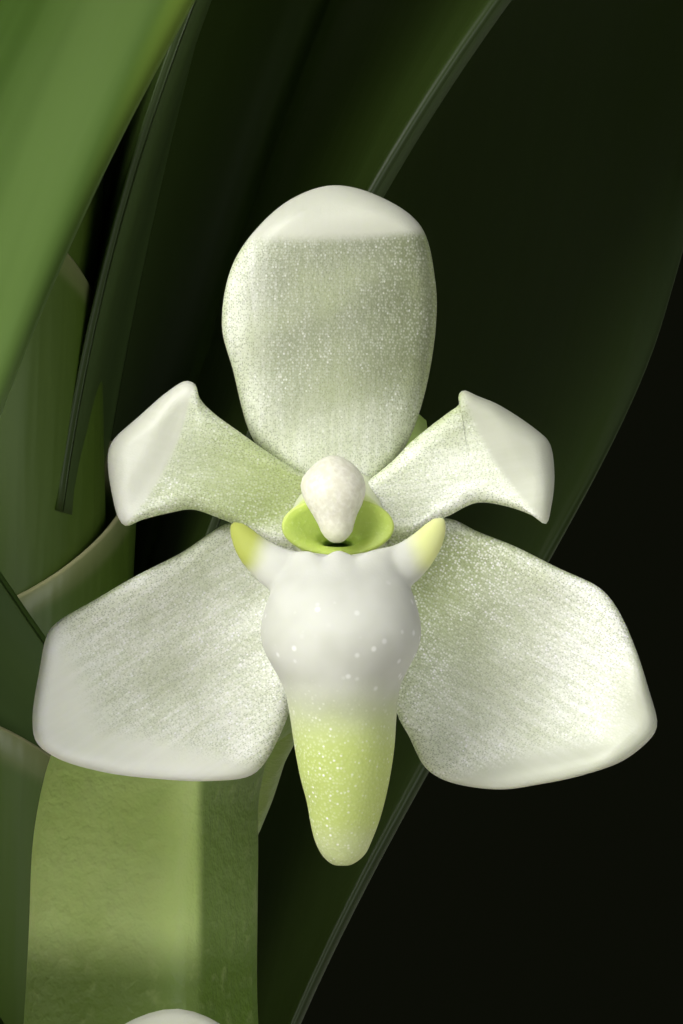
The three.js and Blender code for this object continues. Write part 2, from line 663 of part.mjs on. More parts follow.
// Lip: a swollen white body that narrows into a blunt green spur, with a small horn on each shoulder
const LIP_LEVELS = [
  { z: -0.95, x: 0.06, half: 1.02, front: -2.5, back: -1.5 },
  { z: -1.45, x: 0.06, half: 1.14, front: -3.05, back: -1.3 },
  { z: -2.15, x: 0.05, half: 1.32, front: -3.45, back: -1.1 },
  { z: -2.65, x: 0.05, half: 1.18, front: -3.3, back: -1.05 },
  { z: -3.2, x: 0.08, half: 0.93, front: -2.85, back: -1 },
  { z: -4.1, x: 0.11, half: 0.82, front: -2.55, back: -0.95 },
  { z: -5, x: 0.13, half: 0.64, front: -2.2, back: -0.92 },
  { z: -5.65, x: 0.1, half: 0.44, front: -1.85, back: -0.95 },
  { z: -6, x: 0.08, half: 0.2, front: -1.6, back: -1.15 },
];
const HORN_ROUTE = [[0.7, -2.1, -1.3], [1.05, -2.05, -1.1], [1.45, -1.8, -0.75], [1.76, -1.5, -0.32]];

function makeLip({ lipSides, hornSides, every }) {
  const rings = LIP_LEVELS.filter((_, i) => i % every === 0).map(({ z, x, half, front, back }) =>
    ellipse(vec(x, (front + back) / 2, z), vec(half, 0, 0), vec(0, (front - back) / 2, 0), lipSides),
  );
  const horns = [-1, 1].map((side) => {
    const route = HORN_ROUTE.map(([x, y, z]) => [side * x, y, z]);
    return shaft(route, (share) => mix(0.36, 0.13, share), hornSides, 4 / every);
  });
  return join([skin(rings), ...horns]);
}

function makeBloom(place) {
  const detail = place === frontPlace ? FRONT : FAR;
  const tepals = Object.values(TEPALS).map((tepal) => makeTepal(tepal, detail));
  const bloom = new THREE.Group();
  bloom.add(meshOf(`${place.name}_flower`, join([...tepals, makeColumn(detail)]), petalWhite));
  bloom.add(meshOf(`${place.name}_lip`, makeLip(detail), lipWhite));
  bloom.position.copy(place.centre);
  bloom.rotation.set(-degToRad(place.tilt), degToRad(place.roll), degToRad(place.turn), "ZXY");
  bloom.scale.set(place.mirrored ? -place.size : place.size, place.size, place.size);
  return bloom;
}

// The whole plant
const orchid = new THREE.Group();
orchid.add(meshOf("pot", makePot(), clay));
orchid.add(meshOf("bark_mix", makeBark(), barkBrown));
orchid.add(meshOf("roots", makeRoots(0), velamen));
orchid.add(meshOf("stem", makeStem(0), sheathGreen));
LEAVES.forEach((leaf, i) => orchid.add(meshOf(`leaf_${i + 1}`, makeLeaf(leaf), leafGreen)));
orchid.add(meshOf("raceme", makeRaceme(), rachisGreen));
orchid.add(meshOf("young_raceme", makeYoungRaceme(), rachisGreen));
bloomPlaces.forEach((place) => orchid.add(makeBloom(place)));

export default orchid;
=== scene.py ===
import math
from collections import namedtuple

import bpy
import numpy as np
from mathutils import Matrix, Vector


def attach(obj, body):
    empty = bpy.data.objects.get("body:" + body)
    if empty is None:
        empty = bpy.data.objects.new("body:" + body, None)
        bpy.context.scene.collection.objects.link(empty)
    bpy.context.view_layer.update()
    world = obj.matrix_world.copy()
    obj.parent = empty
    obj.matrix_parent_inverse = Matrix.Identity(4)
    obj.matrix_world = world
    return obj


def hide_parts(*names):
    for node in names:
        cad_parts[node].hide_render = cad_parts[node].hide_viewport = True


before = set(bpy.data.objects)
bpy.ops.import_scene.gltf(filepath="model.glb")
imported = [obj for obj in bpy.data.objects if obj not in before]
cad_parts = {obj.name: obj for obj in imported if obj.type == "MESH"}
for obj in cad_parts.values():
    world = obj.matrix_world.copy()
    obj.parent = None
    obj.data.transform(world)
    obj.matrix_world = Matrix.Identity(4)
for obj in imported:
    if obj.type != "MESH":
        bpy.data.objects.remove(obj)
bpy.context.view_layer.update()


# Clay pot: a small plain terracotta pot, thrown on a wheel and fired unglazed, with a thick rim band
# pulled over at the top and four drain holes punched through its floor while the clay was soft.
MM = 0.001
POT_PROFILE = [
    (0, 0, 0),
    (23, 0, 0.8),
    (29.5, 43, 0.5),
    (33, 43, 0.7),
    (34, 58, 1.6),
    (25.9, 58, 1.6),
    (25.9, 43, 3),
    (20.2, 5, 2.5),
    (0, 5, 0),
]
POT_SIDES = 144
DRAIN_HOLE = {"count": 4, "radius": 3, "ring": 12}

Skin = namedtuple("Skin", "points faces facts look")


class Wire:
    """A node's output. Arithmetic on wires and numbers adds the Math nodes it needs."""

    def __init__(self, tree, socket=None):
        self.tree = tree
        self.socket = socket

    def node(self, kind, settings=None, sockets=None, out=0):
        """Adds a node: its settings first, then the values or wires of its sockets."""
        made = self.tree.nodes.new(kind)
        for name, value in (settings or {}).items():
            setattr(made, name, value)
        for name, value in (sockets or {}).items():
            if isinstance(value, Wire):
                self.tree.links.new(value.socket, made.inputs[name])
            else:
                made.inputs[name].default_value = value
        return Wire(self.tree, made.outputs[out] if made.outputs else None)

    def __getitem__(self, name):
        """Another output of the same node."""
        return Wire(self.tree, self.socket.node.outputs[name])

    def math(self, operation, first, second=0.0):
        return self.node("ShaderNodeMath", {"operation": operation}, {0: first, 1: second})

    def __add__(self, other):
        return self.math("ADD", self, other)

    __radd__ = __add__

    def __sub__(self, other):
        return self.math("SUBTRACT", self, other)

    def __rsub__(self, other):
        return self.math("SUBTRACT", other, self)

    def __mul__(self, other):
        return self.math("MULTIPLY", self, other)

    __rmul__ = __mul__

    def __truediv__(self, other):
        return self.math("DIVIDE", self, other)

    def __rtruediv__(self, other):
        return self.math("DIVIDE", other, self)

    def __pow__(self, other):
        return self.math("POWER", self, other)

    def __abs__(self):
        return self.math("ABSOLUTE", self)


def colour(code):
    """A display colour such as b5673f as linear light."""
    parts = [int(code[i : i + 2], 16) / 255 for i in (0, 2, 4)]
    return (*[p / 12.92 if p < 0.04045 else ((p + 0.055) / 1.055) ** 2.4 for p in parts], 1)


def fade(value, low, high):
    """0 where the value is at low, 1 at high, and soft in between."""
    steps = {"Value": value, "From Min": low, "From Max": high}
    return value.node("ShaderNodeMapRange", {"interpolation_type": "SMOOTHSTEP"}, steps)


def blend(amount, *pair):
    """Two colours, as wires or as display codes, mixed by an amount from 0 to 1."""
    first, second = (colour(tint) if isinstance(tint, str) else tint for tint in pair)
    return amount.node("ShaderNodeMix", {"data_type": "RGBA"}, {0: amount, 6: first, 7: second}, out=2)


def noise(place, scale, detail=3.0, roughness=0.5):
    sockets = {"Vector": place, "Scale": scale, "Detail": detail, "Roughness": roughness}
    return place.node("ShaderNodeTexNoise", {}, sockets)


def stretched(place, x, y, z):
    """The same place with each direction drawn out or pressed together."""
    return place.node("ShaderNodeVectorMath", {"operation": "MULTIPLY"}, {0: place, 1: (x, y, z)})


def bump(height, distance, strength=1.0):
    sockets = {"Height": height, "Distance": distance, "Strength": strength}
    return height.node("ShaderNodeBump", {}, sockets)


def own_place(w):
    """Places in the piece's own frame, in metres."""
    return w.node("ShaderNodeTexCoord", out="Object")


def axis(place, letter):
    return place.node("ShaderNodeSeparateXYZ", {}, {0: place}, out=letter)


def finish(name, fixed, paint):
    """A material: numbers that are the same all over go onto the shader, and paint wires what varies."""
    material = bpy.data.materials.new(name)
    material.use_nodes = True
    tree = material.node_tree
    shader = tree.nodes["Principled BSDF"]
    for socket, value in fixed.items():
        shader.inputs[socket].default_value = value
    for socket, wire in paint(Wire(tree)).items():
        tree.links.new(wire.socket, shader.inputs[socket])
    return material


def ring_faces(rows, sides):
    """Four-cornered faces between equal rings of points."""
    near = np.arange(sides)
    far = (near + 1) % sides
    row = np.arange(rows - 1)[:, None] * sides
    faces = np.stack([row + near, row + far, row + far + sides, row + near + sides], -1)
    return faces.reshape(-1, 4).tolist()


def closed_skin(points, faces, facts, look=0):
    """A skin whose faces all face outwards."""
    fans = np.array([(f[0], f[i], f[i + 1]) for f in faces for i in range(1, len(f) - 1)])
    a, b, c = points[fans[:, 0]], points[fans[:, 1]], points[fans[:, 2]]
    if np.einsum("ij,ij->", a, np.cross(b, c)) < 0:
        faces = [f[::-1] for f in faces]
    return Skin(points, faces, facts, look)


def loft(rings, facts=None, look=0):
    """A closed skin through equal rings of points in millimetres, each end drawn in to its middle."""
    rings = np.asarray(rings, float)
    rows, sides = rings.shape[:2]
    points = np.vstack([rings.reshape(-1, 3), rings[0].mean(0), rings[-1].mean(0)])
    low, high, top = rows * sides, rows * sides + 1, (rows - 1) * sides
    around = [(i, (i + 1) % sides) for i in range(sides)]
    faces = ring_faces(rows, sides) + [(a, low, b) for a, b in around]
    faces += [(b + top, high, a + top) for a, b in around]
    all_facts = {}
    for name, values in (facts or {}).items():
        flat = np.asarray(values, float).reshape(rows * sides, -1)
        all_facts[name] = np.vstack([flat, flat[:sides].mean(0), flat[-sides:].mean(0)])
    return closed_skin(points, faces, all_facts, look)


def note(mesh, name, values):
    """Numbers or vectors for the points of a mesh, which its material or tree reads."""
    values = np.asarray(values, float).reshape(len(mesh.vertices), -1)
    kind, field = ("FLOAT", "value") if values.shape[1] == 1 else ("FLOAT_VECTOR", "vector")
    mesh.attributes.new(name, kind, "POINT").data.foreach_set(field, values.ravel())


def mesh_of(name, skins, finishes, smooth=True):
    """One mesh in metres from closed skins, with the numbers that its material reads at each point."""
    mesh = bpy.data.meshes.new(name)
    faces, looks, start = [], [], 0
    for skin in skins:
        faces += [tuple(i + start for i in f) for f in skin.faces]
        looks += [skin.look] * len(skin.faces)
        start += len(skin.points)
    mesh.from_pydata(np.vstack([s.points for s in skins]) * MM, [], faces)
    for material in finishes:
        mesh.materials.append(material)
    mesh.polygons.foreach_set("material_index", looks)
    mesh.polygons.foreach_set("use_smooth", [smooth] * len(faces))
    for fact in sorted({f for s in skins for f in s.facts}):
        width = next(s.facts[fact].shape[1] for s in skins if fact in s.facts)
        note(mesh, fact, np.vstack([s.facts.get(fact, np.zeros((len(s.points), width))) for s in skins]))
    mesh.update()
    return mesh


def standing(name, mesh):
    made = bpy.data.objects.new(name, mesh)
    bpy.context.scene.collection.objects.link(made)
    return made


def plain(holder):
    """The mesh that an object's modifiers make, with the object itself cleared away."""
    bpy.context.view_layer.update()
    shaped = holder.evaluated_get(bpy.context.evaluated_depsgraph_get())
    mesh = bpy.data.meshes.new_from_object(shaped)
    bpy.data.objects.remove(holder)
    return mesh


def put_in_place(name, meshes, slot, *nodes):
    """A finished piece: its meshes as one, riding on the frame in the place of its nodes."""
    parts = [standing(name, mesh) for mesh in meshes]
    if len(parts) > 1:
        with bpy.context.temp_override(active_object=parts[0], selected_editable_objects=parts):
            bpy.ops.object.join()
    parts[0].name = name
    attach(parts[0], "root")
    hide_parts(*nodes)
    return parts[0]


def rounded_profile(corners, steps=7):
    """Corners of (radius, height, rounding) as a line with every corner rounded off."""
    line = [np.array(corners[0][:2], float)]
    for before, at, after in zip(corners, corners[1:], corners[2:]):
        a, b, c = (np.array(p[:2], float) for p in (before, at, after))
        into, out = (a - b) / np.linalg.norm(a - b), (c - b) / np.linalg.norm(c - b)
        reach = min(at[2], np.linalg.norm(a - b) * 0.45, np.linalg.norm(c - b) * 0.45)
        for t in np.linspace(0, 1, steps):
            line.append(b + into * reach * (1 - t) ** 2 + out * reach * t**2)
    line.append(np.array(corners[-1][:2], float))
    return line


def all_round(sides):
    """Even angles once round a circle."""
    return np.linspace(0, 2 * math.pi, sides, endpoint=False)


def circle_of(radius, z, sides, x=0.0, y=0.0):
    turn = all_round(sides)
    return np.stack([x + radius * np.cos(turn), y + radius * np.sin(turn), np.full(sides, z)], -1)


def fired_clay(w):
    place = own_place(w)
    height = axis(place, "Z")
    clouds = noise(place, 70, 4, 0.6)
    grain = noise(place, 2600, 2, 0.7)
    chalk = fade(noise(place, 160, 5, 0.65), 0.52, 0.74)
    damp = fade(height, 0.034, 0.004)
    body = blend(fade(clouds, 0.3, 0.72), "a85a38", "c27a52")
    body = blend(damp * 0.35, body, "8a4a30")
    body = blend(chalk * (0.2 + 0.25 * damp), body, "d9c3ae")
    body = blend(fade(grain, 0.62, 0.72) * 0.35, body, "7d432c")
    turned = noise(stretched(place, 12, 12, 900), 1, 2)
    relief = turned * 0.6 + grain * 0.4
    return {"Base Color": body, "Roughness": 0.82 + 0.12 * chalk, "Normal": bump(relief, 0.00012)}


clay = finish("fired clay", {"Specular IOR Level": 0.3}, fired_clay)
wall = rounded_profile(POT_PROFILE)
levels = [wall[0]]
for point in wall[1:]:
    steps = max(1, round(np.linalg.norm(point - levels[-1]) / 2.2))
    start = levels[-1]
    levels += [start + (point - start) * (i + 1) / steps for i in range(steps)]
turned_wall = loft([circle_of(max(r, 0.02), z, POT_SIDES) for r, z in levels])
pot = standing("turned_wall", mesh_of("turned_wall", [turned_wall], [clay]))
punches = []
for i in range(DRAIN_HOLE["count"]):
    turn = i / DRAIN_HOLE["count"] * 2 * math.pi
    x, y = DRAIN_HOLE["ring"] * math.cos(turn), DRAIN_HOLE["ring"] * math.sin(turn)
    flare = [(-1, 3.4), (0, 3.3), (0.7, 3), (4.3, 3), (5, 3.25), (6, 3.4)]
    punches.append(loft([circle_of(r, z, 40, x, y) for z, r in flare]))
punch = standing("punch", mesh_of("punch", punches, [clay]))
cut = pot.modifiers.new("drain holes", "BOOLEAN")
cut.operation = "DIFFERENCE"
cut.object = punch
cut.solver = "EXACT"
pot_mesh = plain(pot)
bpy.data.objects.remove(punch)
put_in_place("clay_pot", [pot_mesh], "clay", "pot")


# Bark mix: conifer bark broken into flat chips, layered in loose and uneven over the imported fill.
# Every chip is one flake with its own turn, size and tone, dark where it stays damp.
BARK_FILL_TOP = 46.6
CHIP_LAYERS = [{"z": 47.4, "seed": 3}, {"z": 49.6, "seed": 11}]
CHIP_FIELD_RADIUS = 21.6


def new_tree(name, sockets):
    """A node tree with named inputs, as the wire that brings them in."""
    tree = bpy.data.node_groups.new(name, "GeometryNodeTree")
    for title, kind in sockets.items():
        tree.interface.new_socket(name=title, in_out="INPUT", socket_type="NodeSocket" + kind)
    tree.interface.new_socket(name="Geometry", in_out="OUTPUT", socket_type="NodeSocketGeometry")
    return Wire(tree).node("NodeGroupInput")


def tree_output(shape, flesh):
    """Closes a tree: copies made real and given their material."""
    shape = shape.node("GeometryNodeRealizeInstances", {}, {"Geometry": shape})
    shape = shape.node("GeometryNodeSetMaterial", {}, {"Geometry": shape, "Material": flesh})
    shape.node("NodeGroupOutput", {}, {"Geometry": shape})


def grown(inputs, base, values):
    """The plain mesh that a node tree grows on a base mesh with these input values."""
    holder = standing("growth", base)
    modifier = holder.modifiers.new("growth", "NODES")
    modifier.node_group = inputs.tree
    for item in inputs.tree.interface.items_tree:
        if item.in_out == "INPUT" and item.name in values:
            modifier[item.identifier] = values[item.name]
    return plain(holder)


def any_from(w, low, high, seed, kind="FLOAT"):
    """A random number, or three, for each point."""
    first, out = (2, 1) if kind == "FLOAT" else (0, 0)
    sockets = {first: low, first + 1: high, "Seed": seed}
    return w.node("FunctionNodeRandomValue", {"data_type": kind}, sockets, out=out)


chips_in = new_tree(
    "bark chips",
    {
        "Field": "Geometry", "Spacing": "Float", "Chip size": "Vector",
        "Tilt": "Float", "Seed": "Int", "Bark": "Material",
    },
)
block_size = {"Size": (1, 1, 1), "Vertices X": 7, "Vertices Y": 5, "Vertices Z": 3}
chip_block = chips_in.node("GeometryNodeMeshCube", {}, block_size)
flake_place = chips_in.node("GeometryNodeInputPosition")
chip_block = chips_in.node(
    "GeometryNodeStoreNamedAttribute",
    {"data_type": "FLOAT_VECTOR", "domain": "POINT"},
    {"Geometry": chip_block, "Name": "flake", "Value": flake_place},
)
ragged = noise(flake_place, 2.3, 2.0)["Color"]
ragged = ragged.node("ShaderNodeVectorMath", {"operation": "SUBTRACT"}, {0: ragged, 1: (0.5, 0.5, 0.5)})
ragged = stretched(ragged, 0.7, 0.7, 1.1)
chip_block = chips_in.node("GeometryNodeSetPosition", {}, {"Geometry": chip_block, "Offset": ragged})
chip_points = chips_in.node(
    "GeometryNodeDistributePointsOnFaces",
    {"distribute_method": "POISSON"},
    {
        "Mesh": chips_in["Field"],
        "Distance Min": chips_in["Spacing"],
        "Density Max": 400000.0,
        "Seed": chips_in["Seed"],
    },
)
lean = chips_in["Tilt"]
lean_back = lean * -1
turn_low = chips_in.node("ShaderNodeCombineXYZ", {}, {0: lean_back, 1: lean_back, 2: 0.0})
turn_high = chips_in.node("ShaderNodeCombineXYZ", {}, {0: lean, 1: lean, 2: 2 * math.pi})
chip_turn = any_from(chips_in, turn_low, turn_high, chips_in["Seed"], "FLOAT_VECTOR")
chip_share = any_from(chips_in, (0.6, 0.62, 0.6), (1.15, 1.1, 1.25), 5, "FLOAT_VECTOR")
chip_scale = chips_in.node(
    "ShaderNodeVectorMath", {"operation": "MULTIPLY"}, {0: chip_share, 1: chips_in["Chip size"]}
)
chips = chips_in.node(
    "GeometryNodeInstanceOnPoints",
    {},
    {"Points": chip_points, "Instance": chip_block, "Rotation": chip_turn, "Scale": chip_scale},
)
chips = chips_in.node(
    "GeometryNodeStoreNamedAttribute",
    {"data_type": "FLOAT", "domain": "INSTANCE"},
    {"Geometry": chips, "Name": "chip_tone", "Value": any_from(chips_in, 0.0, 1.0, 9)},
)
tree_output(chips, chips_in["Bark"])


def attribute(w, name, out="Fac"):
    return w.node("ShaderNodeAttribute", {"attribute_name": name}, {}, out=out)


def broken_bark(w):
    tone = attribute(w, "chip_tone")
    flake = attribute(w, "flake", "Vector")
    place = own_place(w)
    height = axis(place, "Z")
    layers = noise(stretched(flake, 1.2, 6, 9), 2.2, 4, 0.6)
    fibre = noise(place, 900, 4, 0.65)
    body = blend(tone, "4a2f20", "8d6242")
    body = blend(fade(layers, 0.42, 0.66) * 0.7, body, "33201a")
    body = blend(fade(fibre, 0.5, 0.72) * 0.5, body, "b08a63")
    body = blend(fade(height, 0.052, 0.0455) * 0.7, body, "1d130e")
    return {"Base Color": body, "Roughness": 0.78 + 0.2 * fibre, "Normal": bump(layers + fibre, 0.0006)}


bark = finish("broken bark", {"Specular IOR Level": 0.25}, broken_bark)
fill_levels = [
    (20, 5.4), (24.2, 30), (25.5, 43),
    (25.5, BARK_FILL_TOP - 0.6), (25, BARK_FILL_TOP), (12, BARK_FILL_TOP + 0.3),
]
bark_meshes = [mesh_of("packed_fill", [loft([circle_of(r, z, 64) for r, z in fill_levels])], [bark])]
for layer in CHIP_LAYERS:
    disc = loft([circle_of(CHIP_FIELD_RADIUS, layer["z"], 40), circle_of(0.5, layer["z"], 40)])
    side_faces = [f for f in disc.faces if len(f) == 4]
    field = mesh_of("chip_field", [disc._replace(faces=side_faces)], [bark])
    chip_inputs = {"Spacing": 0.0042, "Chip size": (0.0098, 0.0066, 0.003), "Tilt": 0.42}
    bark_meshes.append(grown(chips_in, field, {**chip_inputs, "Seed": layer["seed"], "Bark": bark}))
put_in_place("bark_chips", bark_meshes, "bark", "bark_mix")


# Aerial roots: thick cords under a spongy silvery skin that turns green where it is wet, from a short
# woody crown. Four burrow into the bark or creep over the rim, and the free ones end in a green tip.
CROWN_LINE = [[-0.5, 3, 40], [-0.5, 3, 49.6], [-0.5, 3, 56]]
ROOT_LINES = [
    (1.6, [[1, 1, 52], [9, -6, 55.5], [18, -14, 59.5], [25, -19.8, 61.2],
           [29.4, -23.4, 59.6], [30.4, -24.4, 53], [29.6, -24, 44], [27, -22, 33]]),
    (1.3, [[2, 4, 54], [9, 5, 58.5], [17, 4, 61], [25, 1, 62],
           [31, -1, 61.2], [36.2, -2.6, 57.6], [37.4, -4, 50], [36.6, -5, 42]]),
    (1.5, [[-1, 4, 53], [-8, 8, 56], [-15, 11.5, 56],
           [-19.5, 12.5, 52], [-19.5, 12.5, 47], [-17, 12, 43]]),
    (1.7, [[0, 5, 51], [5, 12, 55], [7, 18.5, 55], [3.5, 22, 51], [-3, 21, 47], [-7, 18, 43]]),
    (1.4, [[-2, 1, 52], [-7, -6, 56], [-12.5, -12.5, 56.5],
           [-15.5, -15.5, 53], [-15, -15.5, 47], [-13, -15, 43]]),
]


def smooth(value):
    value = np.clip(value, 0, 1)
    return value * value * (3 - 2 * value)


def between(first, second, share):
    return first + (second - first) * share


def curve_through(points, closed=False, steps=24):
    """A centripetal Catmull-Rom curve through the points."""
    p = np.array(points, float)
    ends = (p[-1:], p[:2]) if closed else (2 * p[:1] - p[1:2], 2 * p[-1:] - p[-2:-1])
    padded = np.vstack([ends[0], p, ends[1]])
    t = np.linspace(0, 1, steps, endpoint=False)[:, None]
    line = []
    for a, b, c, d in zip(padded, padded[1:], padded[2:], padded[3:]):
        d0, d1, d2 = (math.sqrt(np.linalg.norm(q - r)) for q, r in ((a, b), (b, c), (c, d)))
        m1 = ((b - a) / d0 - (c - a) / (d0 + d1) + (c - b) / d1) * d1
        m2 = ((c - b) / d1 - (d - b) / (d1 + d2) + (d - c) / d2) * d1
        line.append(b + m1 * t + (3 * c - 3 * b - 2 * m1 - m2) * t**2 + (2 * b - 2 * c + m1 + m2) * t**3)
    line.append(p[:1] if closed else p[-1:])
    return np.vstack(line)


def at_shares(line, shares):
    """Points at shares of a line's length."""
    reach = np.concatenate([[0], np.cumsum(np.linalg.norm(np.diff(line, axis=0), axis=1))])
    places = np.asarray(shares, float) * reach[-1]
    return np.stack([np.interp(places, reach, line[:, k]) for k in range(line.shape[1])], -1)


def own_note(inputs, name, kind="FLOAT"):
    return inputs.node("GeometryNodeInputNamedAttribute", {"data_type": kind}, {"Name": name})


sweep_in = new_tree(
    "living stalk",
    {
        "Path": "Geometry", "Sides": "Int", "Squareness": "Float",
        "Turned": "Float", "Lumps": "Float", "Flesh": "Material",
    },
)
path = sweep_in.node("GeometryNodeMeshToCurve", {}, {"Mesh": sweep_in["Path"]})
path = sweep_in.node("GeometryNodeSetCurveTilt", {}, {"Curve": path, "Tilt": sweep_in["Turned"]})
section = {"Resolution": sweep_in["Sides"], "Radius": 1.0}
profile = sweep_in.node("GeometryNodeCurvePrimitiveCircle", {"mode": "RADIUS"}, section)
profile_place = sweep_in.node("GeometryNodeInputPosition")
corners = sweep_in["Squareness"]
corner_sum = abs(axis(profile_place, "X")) ** corners + abs(axis(profile_place, "Y")) ** corners
swell = corner_sum ** (-1 / corners)
profile_point = sweep_in.node(
    "ShaderNodeVectorMath", {"operation": "SCALE"}, {0: profile_place, "Scale": swell}
)
profile = sweep_in.node("GeometryNodeSetPosition", {}, {"Geometry": profile, "Position": profile_point})
thick = own_note(sweep_in, "thick")
profiles = {"Curve": path, "Profile Curve": profile, "Scale": thick, "Fill Caps": True}
swept = sweep_in.node("GeometryNodeCurveToMesh", {}, profiles)
skin_place = sweep_in.node("GeometryNodeInputPosition")
lumps = noise(skin_place, 220.0, 2.0)
lift = sweep_in.node(
    "ShaderNodeVectorMath",
    {"operation": "SCALE"},
    {0: sweep_in.node("GeometryNodeInputNormal"), "Scale": (lumps - 0.5) * sweep_in["Lumps"]},
)
swept = sweep_in.node("GeometryNodeSetPosition", {}, {"Geometry": swept, "Offset": lift})
swept = sweep_in.node("GeometryNodeSetShadeSmooth", {}, {"Geometry": swept})
tree_output(swept, sweep_in["Flesh"])


def path_mesh(lines, free):
    """Paths as edges, each with its thickness and its share of the way at every point."""
    mesh = bpy.data.meshes.new("paths")
    points, edges, thickness, way = [], [], [], []
    for line, radii in lines:
        edges += [(len(points) + i, len(points) + i + 1) for i in range(len(line) - 1)]
        points += [tuple(p) for p in np.asarray(line) * MM]
        thickness += list(np.asarray(radii) * MM)
        way += list(np.linspace(0, 1, len(line)))
    mesh.from_pydata(points, edges, [])
    for name, values in (("thick", thickness), ("way", way), ("free", [free] * len(points))):
        note(mesh, name, values)
    return mesh


def stalk(lines, sides, lumps, flesh, squareness=2.0, turned=0.0, free=0.0):
    """Living stalks along lines. A squareness of 2 is round, and more draws out four corners."""
    section = {"Sides": sides, "Squareness": squareness, "Turned": turned}
    return grown(sweep_in, path_mesh(lines, free), {**section, "Lumps": lumps, "Flesh": flesh})


def closing(shares, end):
    """Draws a stalk's radius in to a round tip over the last share of its way."""
    left = np.clip((1 - shares) / end, 0, 1)
    return np.sqrt(np.clip(1 - (1 - left) ** 2, 0.0004, 1))


def spongy_skin(w):
    place = own_place(w)
    way = attribute(w, "way")
    free = attribute(w, "free")
    mottle = noise(place, 260, 4, 0.6)
    fine = noise(place, 2400, 3, 0.7)
    tip = fade(way, 0.84, 0.95) * free
    body = blend(fade(mottle, 0.35, 0.7), "a9ae98", "cfd2c2")
    body = blend(fade(noise(place, 120, 2), 0.48, 0.66) * 0.55, body, "8c9a6a")
    body = blend(fade(fine, 0.6, 0.75) * 0.3, body, "7d7358")
    body = blend(tip, body, "6f8f3c")
    body = blend(fade(way, 0.965, 0.99) * free, body, "b7c27a")
    return {"Base Color": body, "Roughness": 0.75 - 0.35 * tip, "Normal": bump(fine + mottle, 0.00012)}


root_skin = finish("spongy root skin", {"Specular IOR Level": 0.35}, spongy_skin)
root_meshes = []
shares = np.linspace(0, 1, 170)
for number, (radius, route) in enumerate(ROOT_LINES):
    radii = radius * between(1, 0.72, smooth((shares - 0.8) / 0.2)) * closing(shares, 0.045)
    bulges = 1 + 0.05 * np.sin(shares * 31 + number) + 0.03 * np.sin(shares * 77 + 2 * number)
    lines = [(at_shares(curve_through(route), shares), radii * bulges)]
    root_meshes.append(stalk(lines, 28, 0.00022, root_skin, free=1.0 if number < 2 else 0.0))
shares = np.linspace(0, 1, 60)
crown = [(at_shares(curve_through(CROWN_LINE), shares), 4.4 * (1 - 0.12 * shares))]
root_meshes.append(stalk(crown, 48, 0.0008, root_skin))
put_in_place("aerial_roots", root_meshes, "root_skin", "roots")


# Leafy stem: leaf sheaths in two ranks, each wrapped round the next one up, so that only their
# outer backs show. The lowest have dried to brown paper, and each mouth has a thin pale edge.
STEM_NODES = 8
FAN_DEGREES = -30
SHEATH = {"along": 3.7, "across": 2.7, "top_size": 0.74, "first_z": 62, "step": 6}
SHEATH_FOOT, SHEATH_MOUTH = -7, 3.4
STEM_FOOT = 56
UP = np.array([0.0, 0.0, 1.0])


def fan(degrees):
    """A level direction: 0 faces the front, and a positive angle turns it to the right."""
    turn = math.radians(degrees)
    return np.array([math.sin(turn), -math.cos(turn), 0.0])


def stem_axis(z):
    above = z - STEM_FOOT
    return np.array([-0.5 - 0.025 * above, 3 - 0.015 * above, z])


def node_height(node):
    return SHEATH["first_z"] + node * SHEATH["step"]


def rank(node):
    return -1 if node % 2 else 1


def node_size(node):
    return between(1, SHEATH["top_size"], node / (STEM_NODES - 1))


def sheath_rings(node):
    size = node_size(node)
    side = fan(FAN_DEGREES) * rank(node)
    across = np.array([-side[1], side[0], 0.0])
    turn = all_round(56)[:, None]
    rings, dry = [], []
    stops = np.linspace(SHEATH_FOOT, SHEATH_MOUTH, 22)
    mouth = [(0.1, 0.975), (0.0, 0.93), (-0.35, 0.87), (-0.9, 0.8), (-1.3, 0.6), (-1.4, 0.2)]
    rolled_in = [(SHEATH_MOUTH + drop, share) for drop, share in mouth]
    for z, shrink in [(z, 1.0) for z in stops] + rolled_in:
        wide = np.interp(z, [SHEATH_FOOT, -2, SHEATH_MOUTH], [0.8, 0.98, 1.08]) * shrink
        rise = np.interp(z, [SHEATH_FOOT, -2, SHEATH_MOUTH], [0, 0.6, 2])
        height = max(node_height(node) + z, STEM_FOOT + 0.3)
        centre = stem_axis(height) + side * 0.35 * rise * size
        long = side * SHEATH["along"] * wide * size + UP * rise * (0.6 + 0.4 * shrink)
        short = across * SHEATH["across"] * wide * size
        keel = 1 + 0.05 * np.exp(-((turn - math.pi) ** 2) / 0.08)
        rings.append(centre + (long * np.cos(turn) + short * np.sin(turn)) * keel)
        dry.append(np.full(len(turn), smooth((z - 2.2) / 1.0) * (0.5 if shrink == 1 else 1)))
    return rings, dry


def leaf_sheath(w):
    place = own_place(w)
    age = attribute(w, "age")
    lip_edge = attribute(w, "mouth")
    ribs = noise(stretched(place, 1, 1, 0.04), 1500, 2)
    blotch = noise(place, 240, 4, 0.6)
    body = blend(age, "4a611f", "9aa562")
    body = blend(fade(blotch + 0.35 * age, 0.62, 0.82) * age, body, "9a8258")
    body = blend(fade(ribs, 0.4, 0.65) * 0.2, body, "3f571d")
    body = blend(fade(lip_edge, 0.2, 0.9) * 0.7, body, "b9b389")
    relief = bump(ribs + 0.4 * blotch, 0.00006)
    return {"Base Color": body, "Roughness": 0.42 + 0.3 * age, "Normal": relief}


